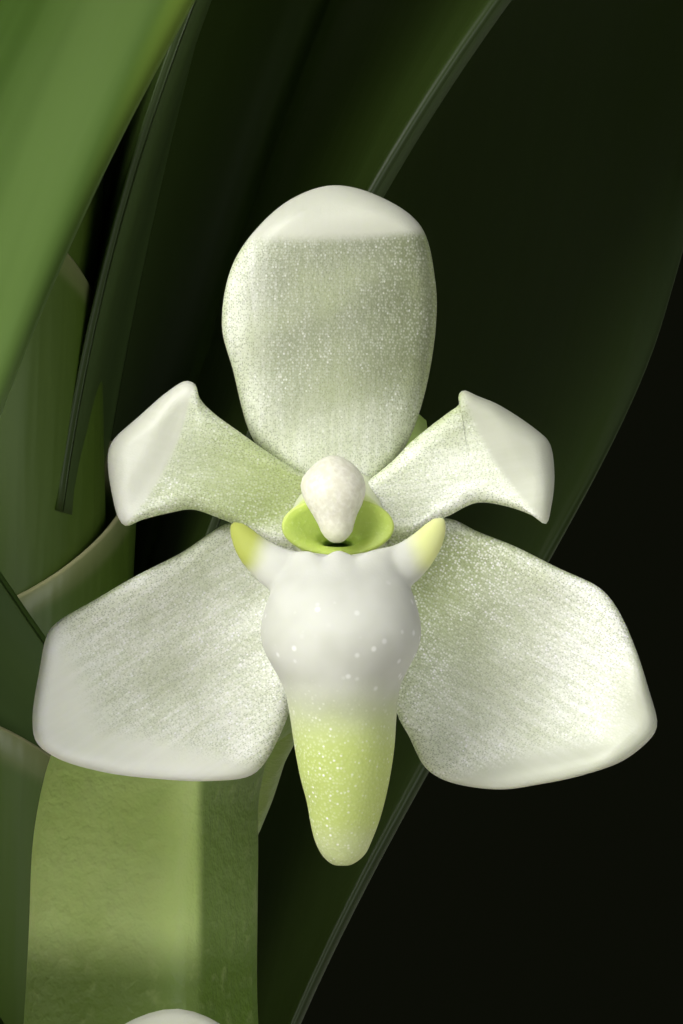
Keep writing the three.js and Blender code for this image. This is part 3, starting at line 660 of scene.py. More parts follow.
sheath_skin = finish("leaf sheath", {"Specular IOR Level": 0.45}, leaf_sheath)
sheaths = []
for node in range(STEM_NODES):
    rings, mouth = sheath_rings(node)
    age = np.full(np.shape(rings)[:2], max(0.0, 1 - node / 2.6))
    sheaths.append(loft(rings, {"mouth": np.array(mouth), "age": age}))
put_in_place("leaf_sheaths", [mesh_of("sheaths", sheaths, [sheath_skin])], "sheath", "stem")


# Leaf blades: leathery straps folded along the midrib where they leave the sheath, opening out and
# arching over, with two uneven lobes at the tip, a sunk midrib and a paler rounded margin.
LEAVES = [
    # node, turn, length, half the width, rise, bend, sweep, youth and painted light from 0 to 1 (dark
    # old leaves stand in for leaves in shade)
    (0, -22, 62, 9.4, 34, 62, 0, 0.22),
    (1, 16, 76, 12, 76, 48, 0, 0.0),
    (2, -6, 80, 10.2, 46, 82, -8, 0.3),
    (3, -2, 84, 10.4, 80, 66, 0, 0.03),
    (4, -20, 82, 10.2, 48, 82, 0, 0.5),
    (5, -8, 76, 10, 78, 44, 0, 0.2),
    (6, 32, 72, 10.5, 44, 108, -22, 0.85),
    (7, 8, 38, 6, 80, 16, 0, 1.0),
]
LEAF_ROWS = 120
LEAF_COLUMNS = np.concatenate([
    -1 + 0.03 * (1 - np.cos(np.linspace(0, math.pi / 2, 6))),
    np.linspace(-0.94, -0.1, 16),
    [-0.06, -0.03, 0.0, 0.03, 0.06],
    np.linspace(0.1, 0.94, 16),
    1 - 0.03 * (1 - np.cos(np.linspace(math.pi / 2, 0, 6))),
])


def leaf_spine(node, turn, length, rise, bend, sweep):
    """Points and frames along the midrib."""
    steps = 60
    point = stem_axis(node_height(node) + SHEATH_MOUTH)
    point += fan(FAN_DEGREES) * rank(node) * 1.6 * node_size(node)
    points, acrosses, normals = [], [], []
    for i in range(steps + 1):
        share = i / steps
        angle = math.radians(rise - bend * share**0.8)
        heading = fan(FAN_DEGREES + turn + sweep * share) * rank(node)
        tangent = heading * math.cos(angle) + UP * math.sin(angle)
        across = np.array([-heading[1], heading[0], 0.0])
        points.append(point.copy())
        acrosses.append(across)
        normals.append(np.cross(tangent, across))
        point += tangent * length / steps
    return np.array(points), np.array(acrosses), np.array(normals)


def leaf_skin(node, turn, length, half_width, rise, bend, sweep, youth):
    spine = leaf_spine(node, turn, length, rise, bend, sweep)
    steps = np.linspace(0, 1, len(spine[0]))
    side = LEAF_COLUMNS
    lobe = (np.abs(side) - 0.42) / 0.66
    notch = 6 * (1 - np.sqrt(np.clip(1 - np.clip(lobe, 0, 1) ** 2, 0, 1))) * (lobe > 0)
    reach = 1 - (notch + 3.4 * smooth(-side / 0.3)) / length
    rings, along, width, youths_and_light, unders = [], [], [], [], []
    rows = [r / LEAF_ROWS for r in range(LEAF_ROWS + 1)]
    for row in rows:
        share = row * reach
        at = [np.stack([np.interp(share, steps, part[:, k]) for k in range(3)], -1) for part in spine]
        half = between(4.1 * node_size(node), half_width, smooth(share / 0.4))
        half = half * (1 - 0.14 * smooth((share - 0.55) / 0.45))
        fold = np.radians(between(46, 13, smooth(share / 0.5)))
        lift = np.abs(side) ** 1.25 * half * np.sin(fold)
        waves = 0.16 * np.sin(share * 19 + node) * np.abs(side) ** 2 * smooth((share - 0.1) / 0.2)
        middle = at[0] + at[1] * (side * half * np.cos(fold))[:, None] + at[2] * (lift + waves)[:, None]
        thick = between(1.7, 0.75, np.abs(side) ** 0.7)
        rim = np.clip((np.abs(side) - 0.94) / 0.06, 0, 1)
        ends = np.clip((1 - row) / 0.012, 0, 1)
        closed = np.sqrt(np.clip(1 - rim**2, 0.0001, 1)) * math.sqrt(max(1 - (1 - ends) ** 2, 0.0001))
        groove = 0.42 * np.exp(-((side * half / 0.55) ** 2)) * smooth((1 - share) / 0.25)
        crease = 0.12 * np.exp(-(((np.abs(side) - 0.9) * half / 0.35) ** 2))
        top = middle + at[2] * (-thick / 2 + thick / 2 * closed - groove * closed - crease)[:, None]
        keel = 0.35 * np.exp(-((side * half / 0.8) ** 2))
        under = middle - at[2] * (thick / 2 + thick / 2 * closed + keel * closed)[:, None]
        rings.append(np.vstack([top, under[::-1]]))
        along.append(np.concatenate([share, share[::-1]]) * length)
        width.append(np.concatenate([side * half, (side * half)[::-1]]))
        youths_and_light.append(np.full(2 * len(side), youth))
        unders.append(np.concatenate([np.zeros(len(side)), np.ones(len(side))]))
    facts = {"along": along, "across": width, "youth": youths_and_light, "underside": unders}
    facts["half"] = [np.full(2 * len(side), half_width)] * len(rings)
    return blade_loft(rings, facts)


def blade_loft(rings, facts):
    """A flat blade's skin: each ring runs out along one face and back along the other."""
    rings = np.asarray(rings)
    rows, sides = rings.shape[:2]
    faces = ring_faces(rows, sides)
    last = (rows - 1) * sides
    for i in range(sides // 2 - 1):
        j, k = sides - 1 - i, sides - 2 - i
        faces += [[i + 1, i, j, k], [last + i, last + i + 1, last + k, last + j]]
    points = rings.reshape(-1, 3)
    facts = {name: np.asarray(values, float).reshape(len(points), -1) for name, values in facts.items()}
    return closed_skin(points, faces, facts)


def leathery_leaf(w):
    place = own_place(w)
    along = attribute(w, "along")
    across = attribute(w, "across")
    half = attribute(w, "half")
    youth = attribute(w, "youth")
    under = attribute(w, "underside")
    strand = w.node("ShaderNodeCombineXYZ", {}, {0: across, 1: along * 0.02, 2: youth * 7})
    veins = noise(strand, 1.7, 2)
    clouds = noise(place, 60, 3)
    side = abs(across) / half
    # Painted sheen: a lighter band just inside the margin of the young leaves stands in for light
    # reflected off the curved blade.
    painted_sheen_band = fade(side, 0.66, 0.84) * fade(side, 0.97, 0.9)
    edge = fade(side, 0.93, 0.985)
    midrib = fade(abs(across), 0.9, 0.15)
    # The youth value carries both the leaf's age tone and painted shade: the lowest values paint the old
    # leaves much darker, with darker margins still, standing in for leaves that lie in shade.
    body = blend(youth, "28360f", "364e18")
    body = blend(fade(clouds, 0.35, 0.7) * 0.4, body, blend(youth, "2a3a12", "48642a"))
    body = blend(fade(veins, 0.4, 0.65) * 0.12, body, blend(youth, "304218", "617b3c"))
    body = blend(midrib * 0.3, body, blend(youth, "3c4f20", "7f9a50"))
    body = blend(painted_sheen_band * 0.35, body, blend(youth, "27350f", "6f8849"))
    body = blend(edge * 0.5, body, blend(youth, "1c290b", "86a033"))
    body = blend(under * 0.12, body, "6f8a55")
    gloss = 0.42 + 0.1 * fade(clouds, 0.3, 0.8) + 0.12 * under + 0.3 * edge
    return {"Base Color": body, "Roughness": gloss, "Normal": bump(veins * 0.6 + clouds, 0.00003)}


leaf_finish = finish("leathery leaf", {"Specular IOR Level": 0.3}, leathery_leaf)
for leaf in LEAVES:
    number = leaf[0] + 1
    blade = mesh_of(f"blade_{number}", [leaf_skin(*leaf)], [leaf_finish])
    put_in_place(f"leaf_blade_{number}", [blade], "leaf", f"leaf_{number}")


# Flowering stalk: a thick, fleshy, four-ridged rachis that leaves the stem, arches out and hangs down,
# with a small dry bract under each bloom, the bloom stalks, and the unopened buds at its end.
RACHIS_LINE = [
    [0.5, -2.3, 83], [2, -8, 86.6], [4.2, -19, 92], [5.9, -31, 95.8], [6.3, -41, 96.7],
    [6.1, -44.8, 95.5], [4.9, -47.3, 93.8], [3.6, -47.8, 92.8], [2.85, -47.6, 91.2],
    [2.65, -47.4, 88.5], [2.6, -47.3, 84], [2.6, -47.2, 76], [2.4, -47.4, 64],
    [2.2, -47.8, 50], [2, -48.2, 35],
]
FRONT_BLOOM = np.array([6.0, -52.0, 96.0])
BLOOMS = {"count": 10, "first_drop": 13, "step": 3.95, "first_turn": 5, "tilt": 6, "smallest": 0.86}
BUDS = {
    "count": 9, "step": 1.75, "lengths": (3.4, 1.5), "first_turn": 20, "tilts": (-5, -38),
    "reaches": (2.6, 1.1), "radius": 0.42, "rings": 8,
}
STALK_REACH = 5.3
BLOOM_BACK = 0.95
GOLDEN_ANGLE = 137.5

rachis_line = curve_through(RACHIS_LINE)


def rachis_radius(share):
    swelling = between(1.2, 1.75, smooth((share - 0.42) / 0.1))
    return swelling * between(1, 0.6 / 1.75, smooth((share - 0.72) / 0.28))


def rachis_share_at(z):
    low, high = 0.5, 1.0
    for _ in range(30):
        middle = (low + high) / 2
        if at_shares(rachis_line, [middle])[0][2] > z:
            low = middle
        else:
            high = middle
    return low


def outward(degrees, tilt):
    lean = math.radians(tilt)
    return fan(degrees) * math.cos(lean) + UP * math.sin(lean)


Place = namedtuple("Place", "number centre turn tilt roll size mirrored share")
first_z = FRONT_BLOOM[2] - BLOOMS["first_drop"]
front_place = Place(1, FRONT_BLOOM, 0, 0, 0, 1.0, False, rachis_share_at(FRONT_BLOOM[2] - 2.2))
lower_places = []
for i in range(BLOOMS["count"]):
    turn = BLOOMS["first_turn"] + i * GOLDEN_ANGLE
    share = rachis_share_at(first_z - i * BLOOMS["step"])
    size = between(1, BLOOMS["smallest"], smooth((i - 3) / (BLOOMS["count"] - 3)))
    tilt = BLOOMS["tilt"] * math.sin(i * 2.1) - 4
    root = at_shares(rachis_line, [share])[0]
    centre = root + outward(turn, tilt) * (rachis_radius(share) + STALK_REACH * size)
    roll = 7 * math.sin(i * 1.7)
    lower_places.append(Place(i + 2, centre, turn, tilt, roll, size, i % 2 == 0, share))


def fleshy_rachis(w):
    place = own_place(w)
    clouds = noise(place, 190, 3)
    pits = noise(place, 2600, 3, 0.6)
    sideways = axis(place, "X")
    height = axis(place, "Z")
    body = blend(fade(clouds, 0.3, 0.7), "c6e277", "d9ee9c")
    # Painted shade: the stalk's right flank, from x 3.7 mm outwards and between 85 and 96 mm high, is
    # painted dark green, standing in for its side turned away from the lamps.
    painted_shade_flank = fade(sideways, 0.00355, 0.00375) * fade(height, 0.097, 0.095) * fade(height, 0.084, 0.086)
    body = blend(painted_shade_flank * 0.8, body, "4f7019")
    body = blend(fade(height, 0.0935, 0.0965) * 0.6, body, "6f8a38")
    # Painted shade: everything in this flesh below about 88.8 mm high is painted a darker green,
    # standing in for the shade on the hanging rachis below the front bloom.
    body = blend(fade(height, 0.0889, 0.0877) * 0.85, body, "55711d")
    body = blend(fade(pits, 0.55, 0.75) * 0.2, body, "c9d592")
    return {"Base Color": body, "Roughness": 0.4 + 0.15 * clouds, "Normal": bump(pits + clouds, 0.00006)}


def waxy_bud(w):
    place = own_place(w)
    way = attribute(w, "way")
    grain = noise(place, 5200, 3, 0.7)
    body = blend(fade(way, 0.15, 0.8), "b5c274", "dfe4c4")
    body = blend(fade(grain, 0.58, 0.7) * 0.5, body, "f2f4e4")
    return {"Base Color": body, "Roughness": 0.38 + 0.1 * grain, "Normal": bump(grain, 0.00004)}


def dry_bract(w):
    place = own_place(w)
    fibre = noise(stretched(place, 1, 1, 0.2), 2600, 3)
    return {"Base Color": blend(fibre, "8f9a4a", "b7a468"), "Roughness": 0.6 + 0.2 * fibre}


flesh = {"Subsurface Weight": 0.25, "Subsurface Radius": (0.7, 1.0, 0.35), "Subsurface Scale": 0.0009}
rachis_flesh = finish("fleshy rachis", {**flesh, "Specular IOR Level": 0.4}, fleshy_rachis)
bud_wax = finish("waxy bud", {**flesh, "Specular IOR Level": 0.45}, waxy_bud)
bract_paper = finish("dry bract", {"Specular IOR Level": 0.3}, dry_bract)

seats_in = new_tree(
    "shapes at their seats", {"Seats": "Geometry", "Shape": "Object", "Flesh": "Material"}
)
seat_shape = seats_in.node(
    "GeometryNodeObjectInfo", {"transform_space": "ORIGINAL"}, {"Object": seats_in["Shape"]}
)["Geometry"]
at_seats = seats_in.node(
    "GeometryNodeInstanceOnPoints",
    {},
    {
        "Points": seats_in["Seats"],
        "Instance": seat_shape,
        "Rotation": own_note(seats_in, "turned", "FLOAT_VECTOR"),
        "Scale": own_note(seats_in, "size"),
    },
)
tree_output(at_seats, seats_in["Flesh"])


def seated(seats, shape, flesh):
    """Copies of a shape at its seats: each a place in millimetres, a turn and a size."""
    spots, turns, sizes = zip(*seats)
    mesh = bpy.data.meshes.new("seats")
    mesh.from_pydata([tuple(spot * MM) for spot in spots], [], [])
    note(mesh, "turned", turns)
    note(mesh, "size", sizes)
    master = standing("master", shape)
    copies = grown(seats_in, mesh, {"Shape": master, "Flesh": flesh})
    bpy.data.objects.remove(master)
    return copies


def bud_skin():
    """A closed bud of length 1 along z: a blunt egg, flattened a little, with three seams."""
    turn = all_round(36)
    rings, way = [], []
    for t in np.linspace(0.02, 0.985, 26):
        radius = 0.34 * math.sin(math.pi * t**0.8) ** 0.72
        seams = 1 - 0.07 * np.exp(-((((turn + 0.4) % (2 * math.pi / 3)) - math.pi / 3) ** 2) / 0.02)
        ring = [radius * seams * np.cos(turn), 0.88 * radius * seams * np.sin(turn), np.full(36, t)]
        rings.append(np.stack(ring, -1) / MM)
        way.append(np.full(36, t))
    return loft(rings, {"way": way})


def in_bud(line, shares, buds):
    """Buds round a stalk at these shares of its line: their seats and their own short stalks."""
    seats, stalks = [], []
    for i, share in enumerate(shares):
        progress = i / (len(shares) - 1)
        root = at_shares(line, [share])[0]
        direction = outward(buds["first_turn"] + i * GOLDEN_ANGLE, between(*buds["tilts"], progress))
        reach = between(*buds["reaches"], progress)
        turn = Vector((0, 0, 1)).rotation_difference(Vector(direction)).to_euler()
        seats.append((root + direction * reach, tuple(turn), between(*buds["lengths"], progress) * MM))
        line_out = np.linspace(root, root + direction * (reach + 0.25), buds["rings"])
        stalks.append((line_out, np.full(buds["rings"], buds["radius"])))
    return seats, stalks


def bract_skin(root, direction, radius, size):
    """A small clasping scale under a stalk."""
    side = np.cross(direction, UP)
    side /= np.linalg.norm(side)
    base = root + direction * (radius * 0.9) - UP * 0.55 * size
    rings = []
    for t in np.linspace(0, 1, 9):
        half = 0.75 * size * (1 - t) ** 0.6 + 0.03
        middle = base + (direction * (0.15 + 0.5 * t) + UP * 0.75 * t) * size
        sweep = np.linspace(-1, 1, 9)
        outer = [middle + side * half * s + direction * 0.18 * size * (1 - s * s) for s in sweep]
        inner = [p - direction * 0.14 * size for p in outer[::-1]]
        rings.append(outer + inner)
    return loft(rings)


bud = mesh_of("bud", [bud_skin()], [bud_wax])
shares = np.linspace(0, 1, 420)
dimples = 1 + 0.02 * np.sin(shares * 60) + 0.015 * np.sin(shares * 143)
rachis_radii = rachis_radius(shares) * 0.95 * dimples * closing(shares, 0.01)
rachis = [(at_shares(rachis_line, shares), rachis_radii)]
stalk_parts = [stalk(rachis, 48, 0.00012, rachis_flesh, 7.0, -0.38)]
stalk_lines, bracts = [], []
for place in [front_place, *lower_places]:
    back = -outward(place.turn, place.tilt)
    end = place.centre + back * (BLOOM_BACK * place.size - 0.25)
    neck = place.centre + back * (BLOOM_BACK * place.size + 1.4)
    root = at_shares(rachis_line, [place.share])[0]
    line = at_shares(curve_through([root, neck, end]), np.linspace(0, 1, 26))
    stalk_lines.append((line, np.linspace(0.5, 0.66, 26) * place.size))
    if place.number > 1:
        bracts.append(bract_skin(root, -back, rachis_radius(place.share), place.size))
bud_z = first_z - BLOOMS["count"] * BLOOMS["step"]
bud_shares = [rachis_share_at(bud_z - i * BUDS["step"]) for i in range(BUDS["count"])]
bud_seats, bud_stalks = in_bud(rachis_line, bud_shares, BUDS)
stalk_parts.append(stalk(stalk_lines + bud_stalks, 16, 0.0001, rachis_flesh))
stalk_parts.append(seated(bud_seats, bud, bud_wax))
stalk_parts.append(mesh_of("bracts", bracts, [bract_paper]))
put_in_place("flowering_stalk", stalk_parts, "rachis", "raceme")


# Young stalk: a short spike still in bud that rises from a lower axil, made like the flowering one.
YOUNG_LINE = [[-4.5, 5, 69], [-7, 9, 72.5], [-10.5, 12.5, 78], [-14, 14.6, 85], [-16, 15.8, 92]]
YOUNG_BUDS = {
    "count": 8, "lengths": (2.6, 1.4), "first_turn": 0, "tilts": (42, 60),
    "reaches": (1.1, 1.1), "radius": 0.4, "rings": 6,
}

young_line = curve_through(YOUNG_LINE)
shares = np.linspace(0, 1, 120)
young_radii = between(1.25, 0.6, shares) * closing(shares, 0.03)
young_spike = [(at_shares(young_line, shares), young_radii)]
young_parts = [stalk(young_spike, 32, 0.0002, rachis_flesh, 3.0, 0.6)]
young_shares = [between(0.52, 1, i / (YOUNG_BUDS["count"] - 1)) for i in range(YOUNG_BUDS["count"])]
young_seats, young_stalks = in_bud(young_line, young_shares, YOUNG_BUDS)
young_parts.append(stalk(young_stalks, 14, 0.0001, rachis_flesh))
young_parts.append(seated(young_seats, bud, bud_wax))
put_in_place("young_stalk", young_parts, "rachis", "young_raceme")


# Flowers: an upper sepal, two petals and two broad lower sepals round a short column. They are thick and
# watery, glitter with tiny dome-shaped cells whose glints are partly painted highlights, and end in
# smooth opaque white tips beyond a fold, most of them bent back. The lower edges of the lower sepals
# roll forward.
TEPALS = {
    # Places are x and z, depths are y. A fold: its two ends, slope to the front, softness and bulge.
    "upper_sepal": {
        "centre": (-0.15, 2.9), "root": ((0, 0.1), 0.1), "tip": ((0, 5.2), -1.1),
        "lean": 2, "dish": -0.3,
        "folds": [((-1.9, 4.3), (1.7, 4.42), -0.72, 0.2, 0.1)],
        "outline": [
            (-0.5, 0.13), (-1.05, 0.57), (-1.45, 1.08), (-1.75, 2.17), (-1.93, 2.9), (-1.76, 3.88),
            (-1.28, 4.58), (-0.72, 5.03), (-0.07, 5.23), (0.67, 5.05), (1.37, 4.55), (1.62, 3.63),
            (1.63, 2.87), (1.45, 1.78), (1.18, 1), (0.87, 0.53), (0.5, 0.13),
        ],
    },
    "left_petal": {
        "centre": (-2.3, 0.65), "root": ((-0.5, 0), -0.2), "tip": ((-3.8, 0.7), -0.75),
        "lean": 1, "dish": 0.1,
        "folds": [((-3.5, -0.43), (-2.42, 1.72), -0.5, 0.08, 0.16)],
        "outline": [
            (-0.36, 0.3), (-0.7, 0.5), (-1.2, 0.82), (-1.62, 1.12), (-2.07, 1.45), (-2.29, 1.68),
            (-2.37, 1.92), (-2.52, 1.98), (-2.82, 1.81), (-3.3, 1.4), (-3.75, 0.98), (-3.83, 0.73),
            (-3.75, 0.07), (-3.63, -0.33), (-3.52, -0.43), (-3.25, -0.33), (-2.77, -0.21),
            (-2.42, -0.16), (-1.93, -0.32), (-1.38, -0.55), (-0.83, -0.78), (-0.38, -0.58),
        ],
    },
    "right_petal": {
        "centre": (2.2, 0.55), "root": ((0.5, 0), -0.2), "tip": ((3.6, 0.5), -0.7),
        "lean": 1, "dish": 0.1,
        "folds": [((2.06, 1.72), (3.42, -0.42), -0.42, 0.16, 0.17)],
        "outline": [
            (0.36, 0.2), (0.55, 0.36), (0.75, 0.52), (0.93, 0.67), (1.2, 0.95), (1.5, 1.2),
            (1.83, 1.45), (2.02, 1.6), (2, 1.73), (2.08, 1.82), (2.32, 1.73), (2.68, 1.58),
            (3.3, 1.17), (3.52, 0.95), (3.6, 0.43), (3.55, -0.08), (3.45, -0.4), (3.25, -0.27),
            (2.77, -0.1), (2.3, -0.05), (1.83, -0.27), (1.37, -0.47), (0.97, -0.67), (0.45, -0.5),
        ],
    },
    "left_sepal": {
        "centre": (-2.6, -2.8), "root": ((-0.5, -0.9), 0.22), "tip": ((-5.05, -3.8), -0.25),
        "lean": 1, "dish": 0.5,
        "folds": [
            ((-3.4, -4.9), (-4.75, -1.7), 0.45, 0.7, 0.15), ((-1.2, -4.42), (-4.3, -3.7), 0.3, 0.4, 0.1),
        ],
        "outline": [
            (-0.63, -0.5), (-1.27, -0.37), (-1.8, -0.37), (-2.6, -0.87), (-3.38, -1.27), (-4.1, -1.69),
            (-4.63, -2), (-4.82, -2.2), (-4.97, -2.87), (-5.07, -3.67), (-5, -4.02), (-4.67, -4.28),
            (-3.87, -4.53), (-2.92, -4.65), (-2.13, -4.68), (-1.47, -4.6), (-1.23, -4.4),
            (-0.9, -3.77), (-0.78, -3.42), (-0.63, -2.67), (-0.43, -1.67), (-0.22, -0.83),
        ],
    },
    "right_sepal": {
        "centre": (2.9, -2.8), "root": ((0.5, -0.9), 0.22), "tip": ((5.3, -3.75), -0.2),
        "lean": 1, "dish": 0.5,
        "folds": [((5.1, -1.9), (3.9, -5), -0.2, 0.8, 0.1), ((4.6, -3.85), (1.6, -4.62), 0.3, 0.4, 0.1)],
        "outline": [
            (0.2, -0.83), (0.78, -0.42), (1.37, -0.3), (1.9, -0.32), (2.32, -0.52), (2.95, -0.77),
            (3.65, -1.12), (4.37, -1.47), (4.63, -1.77), (4.92, -2.37), (5.17, -3.13), (5.32, -3.73),
            (5.25, -3.92), (4.78, -4.32), (4.1, -4.57), (3.37, -4.73), (2.67, -4.82), (1.8, -4.68),
            (1.45, -4.45), (1.18, -3.93), (1, -3.6), (0.83, -2.67), (0.57, -1.67),
        ],
    },
}
BLADE_THICK, TIP_THICK, RIM_WIDTH = 0.6, 0.85, 0.34
COLUMN_RINGS = [
    # depth, height, half the width, half the height
    (0.95, 0, 0.5, 0.5), (0.8, -0.02, 0.62, 0.64), (0.3, -0.2, 1.0, 1.05),
    (-0.3, -0.34, 0.8, 0.86), (-0.7, -0.42, 0.78, 0.66), (-1.05, -0.44, 0.88, 0.54),
    (-1.24, -0.44, 0.93, 0.5), (-1.3, -0.44, 0.92, 0.48), (-1.31, -0.44, 0.88, 0.45),
    (-1.27, -0.46, 0.76, 0.37), (-1.21, -0.52, 0.58, 0.26), (-1.16, -0.62, 0.4, 0.17),
    (-1.08, -0.72, 0.26, 0.08), (-0.8, -0.76, 0.18, 0.05), (-0.5, -0.76, 0.12, 0.04),
]
CAP_RINGS = [
    # height, half the width, middle
    (0.73, 0.06, -0.07), (0.7, 0.16, -0.07), (0.63, 0.28, -0.07), (0.52, 0.4, -0.07),
    (0.38, 0.5, -0.08), (0.24, 0.54, -0.08), (0.08, 0.52, -0.07), (-0.08, 0.46, -0.06),
    (-0.24, 0.37, -0.05), (-0.4, 0.3, -0.03), (-0.52, 0.26, -0.02), (-0.61, 0.2, -0.02),
    (-0.68, 0.12, -0.02), (-0.71, 0.05, -0.02),
]


def past_fold(fold, x, z):
    """How far a point lies past a fold line, on the tip's side. The line bulges towards the blade."""
    (fx, fz), (tx, tz), _, _, bulge = fold
    length = math.hypot(tx - fx, tz - fz)
    way = np.clip(((x - fx) * (tx - fx) + (z - fz) * (tz - fz)) / length**2, 0, 1)
    return ((tx - fx) * (z - fz) - (tz - fz) * (x - fx)) / length + bulge * 4 * way * (1 - way)


def tepal_skin(tepal, corners, faces, rims):
    """Rings from the back's middle out over the rim and in to the front's middle."""
    outline = at_shares(curve_through(tepal["outline"], closed=True), np.arange(corners) / corners)
    centre = np.array(tepal["centre"])
    spokes = outline - centre
    rim_share = RIM_WIDTH / np.linalg.norm(spokes, axis=1)
    (root_x, root_z), root_y = tepal["root"]
    (tip_x, tip_z), tip_y = tepal["tip"]
    run_x, run_z = tip_x - root_x, tip_z - root_z
    length = math.hypot(run_x, run_z)
    steps = [(-1.0, share) for share in faces]
    steps += [(math.sin(a), None) for a in np.radians(np.linspace(-80, 80, rims))]
    steps += [(1.0, share) for share in faces[::-1]]
    rings, grain, tips, margins, local = [], [], [], [], []
    for face, share in steps:
        if share is None:
            rho = 1 - rim_share * (1 - math.sqrt(1 - face * face))
        else:
            rho = (1 - rim_share) * share
        x, z = (centre + spokes * rho[:, None]).T
        along = ((x - root_x) * run_x + (z - root_z) * run_z) / length**2
        off = ((z - root_z) * run_x - (x - root_x) * run_z) / length
        y = between(root_y, tip_y, np.maximum(along, 0) ** tepal["lean"]) + tepal["dish"] * (1 - rho**2)
        past = np.full(len(x), -9.0)
        for fold in tepal["folds"]:
            slope, soft = fold[2:4]
            over = np.maximum(0, past_fold(fold, x, z))
            y = y - slope * np.where(over < soft, over * over / (2 * soft), over - soft / 2)
            past = np.maximum(past, past_fold(fold, x, z) / soft)
        y = y + 0.02 * np.sin(x * 3.1 + z * 1.7) + 0.012 * np.sin(z * 5.3 - x * 2.2)
        half = between(BLADE_THICK, TIP_THICK, smooth(past_fold(tepal["folds"][0], x, z) / 0.5)) / 2
        rings.append(np.stack([x, y - face * half, z], -1))
        grain.append(np.stack([along * length, off, np.full(len(x), face)], -1))
        tips.append(smooth(past + 0.3))
        margins.append(np.linalg.norm(spokes, axis=1) * (1 - rho))
        local.append(np.stack([x, y, z], -1))
    return loft(rings, {"grain": grain, "tip": tips, "margin": margins, "bloom_at": local})


def column_skin(sides):
    turn = all_round(sides)
    rings = []
    for y, z, half, high in COLUMN_RINGS:
        rings.append(np.stack([half * np.cos(turn), np.full(sides, y), z + high * np.sin(turn)], -1))
    inside = [np.full(sides, float(i > 6)) for i in range(len(rings))]
    return loft(rings, {"bloom_at": rings, "inside": inside}, look=1)


def cap_skin(sides):
    turn = all_round(sides)
    rings = []
    for z, half, x in CAP_RINGS:
        y = -1.52 + 0.16 * z + 0.9 * half * np.sin(turn)
        rings.append(np.stack([x + half * np.cos(turn), y, np.full(sides, z)], -1))
    return loft(rings, {"bloom_at": rings}, look=2)


def cells(place, scale, flat=False, scatter=1.0, deal="Red"):
    """Small cells: how far a spot is from its cell's middle, and a number dealt to each cell."""
    kind = {"voronoi_dimensions": "2D"} if flat else {}
    sizes = {"Vector": place, "Scale": scale, "Randomness": scatter}
    away = place.node("ShaderNodeTexVoronoi", kind, sizes, out="Distance")
    return away, place.node("ShaderNodeSeparateColor", {}, {0: away["Color"]}, out=deal)


def glittering_tepal(w):
    grain = attribute(w, "grain", "Vector")
    tip = attribute(w, "tip")
    margin = attribute(w, "margin")
    place = attribute(w, "bloom_at", "Vector")
    x = axis(place, "X")
    z = axis(place, "Z")
    dome, bright_dice = cells(stretched(grain, 21, 25, 0), 1.0, True, 0.9)
    pore, pore_dice = cells(stretched(grain, 27, 33, 0), 1.0, True, deal="Green")
    drift = noise(place, 0.8, 3)
    rows = noise(stretched(grain, 0.9, 9, 0), 1.0, 3)
    blade = 1 - tip
    # low marks the lower tepals, which get the brighter painted light: whiter tips and more painted
    # sparkle than the upper ones.
    low = fade(z, 1.2, -1.2)
    dot = fade(dome, 0.62, 0.15)
    lively = 0.35 + 0.65 * fade(drift + 0.35 * (rows - 0.5), 0.38, 0.62)
    # Painted highlights: the sparkle lightens the domes of the cells and the glint paints a few of them
    # white, standing in for glints of the lamps, fewer on the upper tepals; the bump and lower roughness
    # add true glints as well.
    painted_sparkle = fade(bright_dice, 0.1, 0.75) * dot * blade * lively * (0.25 + 0.6 * low)
    painted_glint = fade(bright_dice, 0.93, 0.98) * fade(dome, 0.55, 0.25) * blade * lively * (0.35 + 0.65 * low)
    edge = fade(margin, 0.9, 0.1) * blade
    speck = fade(pore, 0.5, 0.2) * fade(pore_dice, 0.62, 0.5) * blade * (0.3 + 0.2 * edge)
    reach = w.math("SQRT", x * x + (z + 0.35) * (z + 0.35))
    petal_side = fade(x * (z + 0.5), 0.2, -0.3) * fade(z - 0.67 * abs(x), 0.2, -0.1)
    heart = fade(reach, 4.6, 1.2) * (0.15 + 0.85 * petal_side)
    shaded = fade(z, 0.3, 2.4) * fade(x, -2.0, -0.8) * (0.8 + 0.2 * fade(x, 0.0, 1.3))
    body = blend(fade(rows, 0.35, 0.7), "e1e5d3", "f1f3e9")
    body = blend(shaded * 0.95, body, "737b58")
    body = blend(heart * 0.92, body, "a3b26c")
    body = blend(fade(drift, 0.62, 0.3) * 0.35 * blade, body, "b3bc90")
    body = blend(fade(margin, 0.12, 0.0) * 0.5 * blade, body, "b9c88c")
    # Painted light and shade on the opaque white tips: greyer towards the right, whiter on the far left,
    # and duller on the upper tepals than on the lower ones, as from lamps above and to the left.
    upper_tip_shaded_right = blend(fade(x, 1.2, 2.6), "c3c4b6", "b3b5a4")
    lower_tip_shaded_right = blend(fade(x, -3.5, 4.5), "eff0e6", "b9bca9")
    body = blend(tip * 0.85, body, blend(low, upper_tip_shaded_right, lower_tip_shaded_right))
    body = blend(speck, body, "6a7350")
    # The painted highlights go on last, over every other colour.
    body = blend(painted_sparkle, body, "fcfdf6")
    body = blend(painted_glint * 0.95, body, "ffffff")
    relief = (1 - dome) * (0.2 + 0.8 * blade)
    return {
        "Base Color": body,
        "Roughness": 0.45 - 0.2 * painted_glint,
        "Normal": bump(relief, 0.012 * MM, 0.7),
    }


